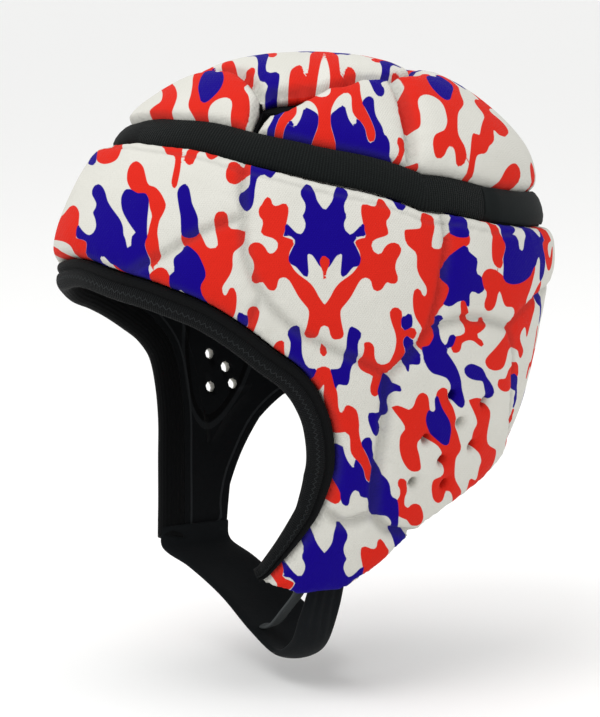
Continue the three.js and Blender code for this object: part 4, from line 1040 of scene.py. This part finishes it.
# chin strap and keeper strips
strap = {
    "drop": 37, "wall": 3.2, "gap": 0.35, "cup": 2.4,
    # across as a share of the half span, drop as a share of the drop, front edge and rear edge in mm
    "rows": np.array([(-1.005, -0.2, -40.5, -7.5), (-0.99, 0.035, -41.0, -6.5), (-0.745, 0.22, -35.3, -1.5),
                      (-0.373, 0.5, -30.4, 3.0), (0.04, 0.84, -27.3, 8.0), (0.414, 1.0, -26.2, -3.0),
                      (0.745, 0.8, -27.2, -8.5), (0.9, 0.45, -28.0, -9.5), (0.93, 0.12, -24.5, -7.5),
                      (0.972, -0.1, -22.5, -7.5), (1.025, -0.3, -22.0, -7.5)]),
    "keeperWidth": 5.4, "keeperWall": 1.4,
    # middle lines
    "keepers": {
        "keeperFront": [(-2, -19, -231.5), (12, -21.5, -228), (27, -24, -218), (40, -26, -208),
                        (45, -26.5, -199)],
        "keeperRear": [(33, -15, -231), (39, -18, -224), (43, -20, -214), (45, -21, -205)],
    },
}


def throughRows(rows, share):
    rows = np.vstack([2 * rows[0] - rows[1], rows, 2 * rows[-1] - rows[-2]])
    index = np.clip(share, 0, 1) * (len(rows) - 3)
    low = np.clip(np.floor(index).astype(int), 0, len(rows) - 4)
    t = (index - low)[:, None]
    a, b, c, d = (rows[low + k] for k in range(4))
    bend = 2 * a - 5 * b + 4 * c - d
    return 0.5 * (2 * b + (c - a) * t + bend * t ** 2 + (3 * b - a - 3 * c + d) * t ** 3)


def strapPlaces(along, across, lift):
    jawHalf = formAt(np.array([1.965]))[0, 1] * headForm["width"] / 2
    half = jawHalf - headForm["wall"] - strap["gap"] - strap["wall"] / 2
    row = throughRows(strap["rows"], along)
    ahead = throughRows(strap["rows"], along + 0.004) - throughRows(strap["rows"], along - 0.004)
    x = row[:, 0] * half
    z = headForm["wall"] - headForm["height"] - row[:, 1] * strap["drop"]
    way = np.stack([ahead[:, 0] * half, -ahead[:, 1] * strap["drop"]], axis=1)
    way /= np.linalg.norm(way, axis=1, keepdims=True)
    y = row[:, 2] + across * (row[:, 3] - row[:, 2])
    return np.stack([x - way[:, 1] * lift, y, z + way[:, 0] * lift], axis=1)


def makeStrap():
    strip, u, v = gridStrip("chinStrap", 180, 48)
    # v runs round the strap: its outer face, then its inner face
    outer = v < 0.5
    across = 0.5 - 0.5 * np.cos(np.where(outer, v * 2, 2 - v * 2) * math.pi)
    edge = np.clip(1 - (2 * across - 1) ** 8, 0, 1) ** 0.5
    open_ = smoothRamp(u, 0.12, 0.35) * (1 - smoothRamp(u, 0.6, 0.75))
    cup = strap["cup"] * ((2 * across - 1) ** 2 - 0.4) * open_
    crumple = 0.5 * np.sin(across * 26 + u * 9) * smoothRamp(u, 0.6, 0.72)
    wall = strap["wall"] * (0.2 + 0.8 * smoothRamp(u, 0.02, 0.14))
    lift = cup + np.where(outer, -0.5, 0.5) * wall * edge + crumple * edge
    writePoints(strip.data, strapPlaces(u, across, lift) / 1000)
    closeStrip(strip)
    return strip


def makeKeeper(name, stops):
    strip, u, v = gridStrip(name, 40, 16)
    stops = np.array(stops, dtype=float)
    middle = throughRows(stops, u)
    way = throughRows(stops, u + 0.01) - throughRows(stops, u - 0.01)
    sideways = np.cross(way, (0.3, 1, 0.25))
    up = sideways / np.linalg.norm(sideways, axis=1, keepdims=True)
    flat = np.cross(up, way)
    flat /= np.linalg.norm(flat, axis=1, keepdims=True)
    angle = v * 2 * math.pi
    run = np.sign(np.cos(angle)) * np.abs(np.cos(angle)) ** 0.5 * strap["keeperWidth"] / 2
    rise = np.sign(np.sin(angle)) * np.abs(np.sin(angle)) ** 0.7 * strap["keeperWall"] / 2
    writePoints(strip.data, (middle + flat * run[:, None] + up * rise[:, None]) / 1000)
    closeStrip(strip)
    return strip


chinStrap = makeStrap()
keepers = {name: makeKeeper(name, rows) for name, rows in strap["keepers"].items()}
print("strap made")


# materials
def linearColour(code):
    parts = [int(code[i:i + 2], 16) / 255 for i in (1, 3, 5)]
    return [p / 12.92 if p <= 0.04045 else ((p + 0.055) / 1.055) ** 2.4 for p in parts] + [1]


def newMaterial(name):
    material = bpy.data.materials.new(name)
    material.use_nodes = True
    material.node_tree.nodes.clear()
    return material, material.node_tree


def addNode(tree, kind, inputs=(), output=0, **settings):
    # a node with its settings, values and links, which gives the socket to go on from
    node = tree.nodes.new("ShaderNode" + kind)
    for key, value in settings.items():
        setattr(node, key, value)
    for key, value in inputs.items() if isinstance(inputs, dict) else enumerate(inputs):
        if isinstance(value, bpy.types.NodeSocket):
            tree.links.new(value, node.inputs[key])
        else:
            node.inputs[key].default_value = value
    return node.outputs[output] if len(node.outputs) else None


def finishMaterial(tree, colour, roughness, height, finish):
    bump = addNode(tree, "Bump", {"Height": height, "Distance": finish["bump"], "Strength": 1.0})
    shader = addNode(tree, "BsdfPrincipled", {"Base Color": colour, "Roughness": roughness, "Normal": bump,
                                              **finish["shader"]})
    addNode(tree, "OutputMaterial", {"Surface": shader})


# thread is the pitch of the knit's diagonal rib in mm
# the vent tone is a painted shade colour for the vent's opening
coverCloth = {"white": "#CBCAC3", "shade": "#C0BFB7", "red": "#C62418", "blue": "#110078", "inkEdge": 0.16,
              "paintedCreaseShade": "#4A4A48", "creaseShade": 0.16, "vent": "#0B0C0D", "ventEdge": 0.3,
              "thread": 1.1, "loop": 0.9, "bump": 0.0005, "shader": {"Specular IOR Level": 0.06}}


def printedKnitMaterial():
    # polyester warp knit, printed by heat transfer: matt, with a fine diagonal rib
    material, tree = newMaterial("printedPolyesterKnit")
    east, south = (addNode(tree, "Attribute", output="Fac", attribute_name=name)
                   for name in ("clothEast", "clothSouth"))
    place = addNode(tree, "CombineXYZ", (east, south))
    mottle = addNode(tree, "TexNoise", {"Vector": place, "Scale": 0.06, "Detail": 3.0}, "Fac")
    shade, white = (linearColour(coverCloth[tone]) for tone in ("shade", "white"))
    colour = addNode(tree, "Mix", {0: mottle, 6: shade, 7: white}, 2, data_type="RGBA")
    # the inks over the ground, then the painted shade in the creases, then the painted shade of the vent's
    # opening
    for field, tone, edge in (("redField", "red", "inkEdge"), ("whiteField", "white", "inkEdge"),
                              ("blueField", "blue", "inkEdge"), ("dropField", "red", "inkEdge"),
                              ("paintedCreaseShade", "paintedCreaseShade", None), ("paintedVentShade", "vent", "ventEdge")):
        share = addNode(tree, "Attribute", output="Fac", attribute_name=field)
        if edge:
            share = addNode(tree, "MapRange", {"Value": share, "From Min": -coverCloth[edge],
                                               "From Max": coverCloth[edge]}, interpolation_type="SMOOTHSTEP")
        else:
            share = addNode(tree, "Math", (share, coverCloth["creaseShade"]), operation="MULTIPLY")
        ink = linearColour(coverCloth[tone])
        colour = addNode(tree, "Mix", {0: share, 6: colour, 7: ink}, 2, data_type="RGBA")
    slant = addNode(tree, "Math", (south, 0.62, east), operation="MULTIPLY_ADD")
    rib = addNode(tree, "Math", (slant, 2 * math.pi / coverCloth["thread"]), operation="MULTIPLY")
    rib = addNode(tree, "Math", (rib,), operation="SINE")
    loop = addNode(tree, "Math", (south, 2 * math.pi / coverCloth["loop"]), operation="MULTIPLY")
    loop = addNode(tree, "Math", (loop,), operation="SINE")
    creases = addNode(tree, "TexNoise", {"Vector": place, "Scale": 0.11, "Detail": 4.0, "Distortion": 0.8},
                      "Fac")
    height = addNode(tree, "Math", (creases, 0.9), operation="MULTIPLY")
    height = addNode(tree, "Math", (rib, 0.06, height), operation="MULTIPLY_ADD")
    height = addNode(tree, "Math", (loop, 0.03, height), operation="MULTIPLY_ADD")
    roughness = addNode(tree, "Math", (mottle, 0.12, 0.72), operation="MULTIPLY_ADD")
    finishMaterial(tree, colour, roughness, height, coverCloth)
    return material


# the groove tone is a painted shade and the ridge tone a painted highlight, drawn along the lining's ear
# patch seam
blackCloth = {"bump": 0.0004, "velour": 0.85, "lining": 0.9, "groove": "#050506", "paintedRidgeHighlight": "#1F2123",
              "rim": "#2A2C2E", "stitch": "#26292A",
              "shader": {"Sheen Weight": 0.02, "Sheen Roughness": 0.4, "Specular IOR Level": 0.1}}


def startVelour(name, dark, light):
    # brushed nylon velour: a short pile that drinks the light, with a faint sheen at the edge
    material, tree = newMaterial(name)
    place = addNode(tree, "TexCoord", output="Object")
    pile = addNode(tree, "TexNoise", {"Vector": place, "Scale": 900.0, "Detail": 3.0}, "Fac")
    cloud = addNode(tree, "TexNoise", {"Vector": place, "Scale": 28.0, "Detail": 4.0}, "Fac")
    colour = addNode(tree, "Mix", {0: cloud, 6: linearColour(dark), 7: linearColour(light)}, 2,
                     data_type="RGBA")
    height = addNode(tree, "Math", (cloud, 0.8), operation="MULTIPLY")
    height = addNode(tree, "Math", (pile, 0.3, height), operation="MULTIPLY_ADD")
    return material, tree, colour, height


def velourMaterial(name, dark, light):
    material, tree, colour, height = startVelour(name, dark, light)
    finishMaterial(tree, colour, blackCloth["velour"], height, blackCloth)
    return material


def liningMaterial():
    # the same velour, with the ear patch's seam as a painted shade line, a painted highlight on the ridge
    # beside it, and the stitched line along the rim
    material, tree, colour, height = startVelour("blackVelourLining", "#0A0B0D", "#131517")
    for field, tone, at, width, sunk in (("earPatch", "groove", 0.0, 1.0, -2.0),
                                         ("earPatch", "paintedRidgeHighlight", -2.2, 0.9, 0.0),
                                         ("rimGap", "rim", 3.4, 0.5, -1.0)):
        line = addNode(tree, "Attribute", output="Fac", attribute_name=field)
        line = addNode(tree, "Math", (line, at, width), operation="COMPARE")
        tint = linearColour(blackCloth[tone])
        colour = addNode(tree, "Mix", {0: line, 6: colour, 7: tint}, 2, data_type="RGBA")
        height = addNode(tree, "Math", (line, sunk, height), operation="MULTIPLY_ADD")
    finishMaterial(tree, colour, blackCloth["lining"], height, blackCloth)
    return material


def ribbedMaterial(name, length, pitch, dark, light, threads, ribbed, stitches=None):
    # elastic knit: ribs across its run, from the piece's own UV map, with a painted highlight on each rib's
    # crest
    material, tree = newMaterial(name)
    parts = addNode(tree, "SeparateXYZ", (addNode(tree, "UVMap", uv_map="UVMap"),)).node.outputs
    run = addNode(tree, "Math", (parts[0], length), operation="MULTIPLY")
    rib = addNode(tree, "Math", (run, 2 * math.pi / pitch), operation="MULTIPLY")
    rib = addNode(tree, "Math", (rib,), operation="SINE")
    rib = addNode(tree, "Math", (rib, 0.5, 0.5), operation="MULTIPLY_ADD")
    # ribs only where the knit is ribbed: along the run is 0, round the piece is 1
    for part, (low, high) in ribbed.items():
        inside = addNode(tree, "Math", (parts[part], (low + high) / 2, (high - low) / 2), operation="COMPARE")
        rib = addNode(tree, "Math", (rib, inside), operation="MULTIPLY")
    thread = addNode(tree, "Math", (parts[1], 2 * math.pi * threads), operation="MULTIPLY")
    thread = addNode(tree, "Math", (thread,), operation="SINE")
    place = addNode(tree, "TexCoord", output="Object")
    fuzz = addNode(tree, "TexNoise", {"Vector": place, "Scale": 700.0, "Detail": 3.0}, "Fac")
    tone = addNode(tree, "Math", (fuzz, 0.7, 0.3), operation="MULTIPLY_ADD")
    tone = addNode(tree, "Math", (rib, tone), operation="MULTIPLY")
    # painted highlight: the colour goes from dark to light on each rib's crest, as if lit
    colour = addNode(tree, "Mix", {0: tone, 6: linearColour(dark), 7: linearColour(light)}, 2,
                     data_type="RGBA")
    height = addNode(tree, "Math", (fuzz, 0.5), operation="MULTIPLY")
    height = addNode(tree, "Math", (rib, 0.8, height), operation="MULTIPLY_ADD")
    height = addNode(tree, "Math", (thread, 0.15, height), operation="MULTIPLY_ADD")
    if stitches:
        swing = addNode(tree, "Math", (run, stitches["pitch"] / 2), operation="PINGPONG")
        swing = addNode(tree, "Math", (swing, stitches["swing"] / stitches["pitch"] * 2, stitches["at"]),
                        operation="MULTIPLY_ADD")
        row = addNode(tree, "Math", (parts[1], swing, stitches["width"]), operation="COMPARE")
        stitch = linearColour(blackCloth["stitch"])
        colour = addNode(tree, "Mix", {0: row, 6: colour, 7: stitch}, 2, data_type="RGBA")
        height = addNode(tree, "Math", (row, 0.8, height), operation="MULTIPLY_ADD")
    finishMaterial(tree, colour, blackCloth["velour"], height, blackCloth)
    return material


def dress(thing, material, nodes):
    thing.data.materials.clear()
    thing.data.materials.append(material)
    pick(thing)
    bpy.ops.object.shade_smooth()
    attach(thing, "root")
    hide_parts(*nodes)


dress(printedCover, printedKnitMaterial(), padNodes)
dress(innerLining, liningMaterial(), ["inner_lining"])
zigzag = {"pitch": 2.6, "swing": 0.04, "at": 0.42, "width": 0.007}
dress(faceBinding, ribbedMaterial("ribbedElasticBinding", bindingLength, 0.9, "#08090A", "#141718", 30,
                                  {1: (0.3, 0.58)}, zigzag), ["face_binding"])
dress(headBand, ribbedMaterial("ribbedElasticWeb", bandLength, 1.1, "#0A0D0D", "#191D1C", 60,
                               {0: (-0.05, 0.3)}), ["head_band"])
dress(bandOverlap, velourMaterial("brushedLoopTape", "#0C1010", "#161A1A"), ["band_overlap"])
dress(chinStrap, velourMaterial("strapVelour", "#0A0C0E", "#141719"), ["chin_strap"])
keeperTape = velourMaterial("keeperTape", "#303334", "#45494A")
dress(keepers["keeperFront"], keeperTape, ["keeper_strip_front"])
dress(keepers["keeperRear"], keeperTape, ["keeper_strip_rear"])
print("materials set")


# floor and light
def makeStage():
    deselectAll()
    bpy.ops.mesh.primitive_plane_add(size=60, location=(0, 0, -0.252))
    floor = bpy.context.object
    floor.name = "paleFloor"
    material, tree = newMaterial("palePaper")
    shader = addNode(tree, "BsdfPrincipled", {"Base Color": linearColour("#F4F4F3"), "Roughness": 0.9})
    addNode(tree, "OutputMaterial", {"Surface": shader})
    floor.data.materials.append(material)


def softBox(name, turn, rise, distance, size, power):
    turn = math.radians(turn)
    rise = math.radians(rise)
    way = Vector((math.sin(turn) * math.cos(rise), -math.cos(turn) * math.cos(rise), math.sin(rise)))
    bpy.ops.object.light_add(type="AREA", location=Vector((0, 0, -0.1)) + way * distance)
    lamp = bpy.context.object
    lamp.name = name
    lamp.data.shape = "DISK"
    lamp.data.size = size
    lamp.data.energy = power
    lamp.rotation_euler = way.to_track_quat("Z", "Y").to_euler()


makeStage()
softBox("keyLight", 25, 55, 1.6, 1.0, 9)
softBox("fillLight", 120, 20, 1.8, 1.4, 2)
softBox("topLight", -40, 70, 1.6, 1.2, 4)
world = bpy.data.worlds.new("paleRoom")
world.use_nodes = True
world.node_tree.nodes["Background"].inputs[0].default_value = linearColour("#FFFFFF")
world.node_tree.nodes["Background"].inputs[1].default_value = 0.97
bpy.context.scene.world = world
bpy.context.scene.view_settings.view_transform = "Standard"
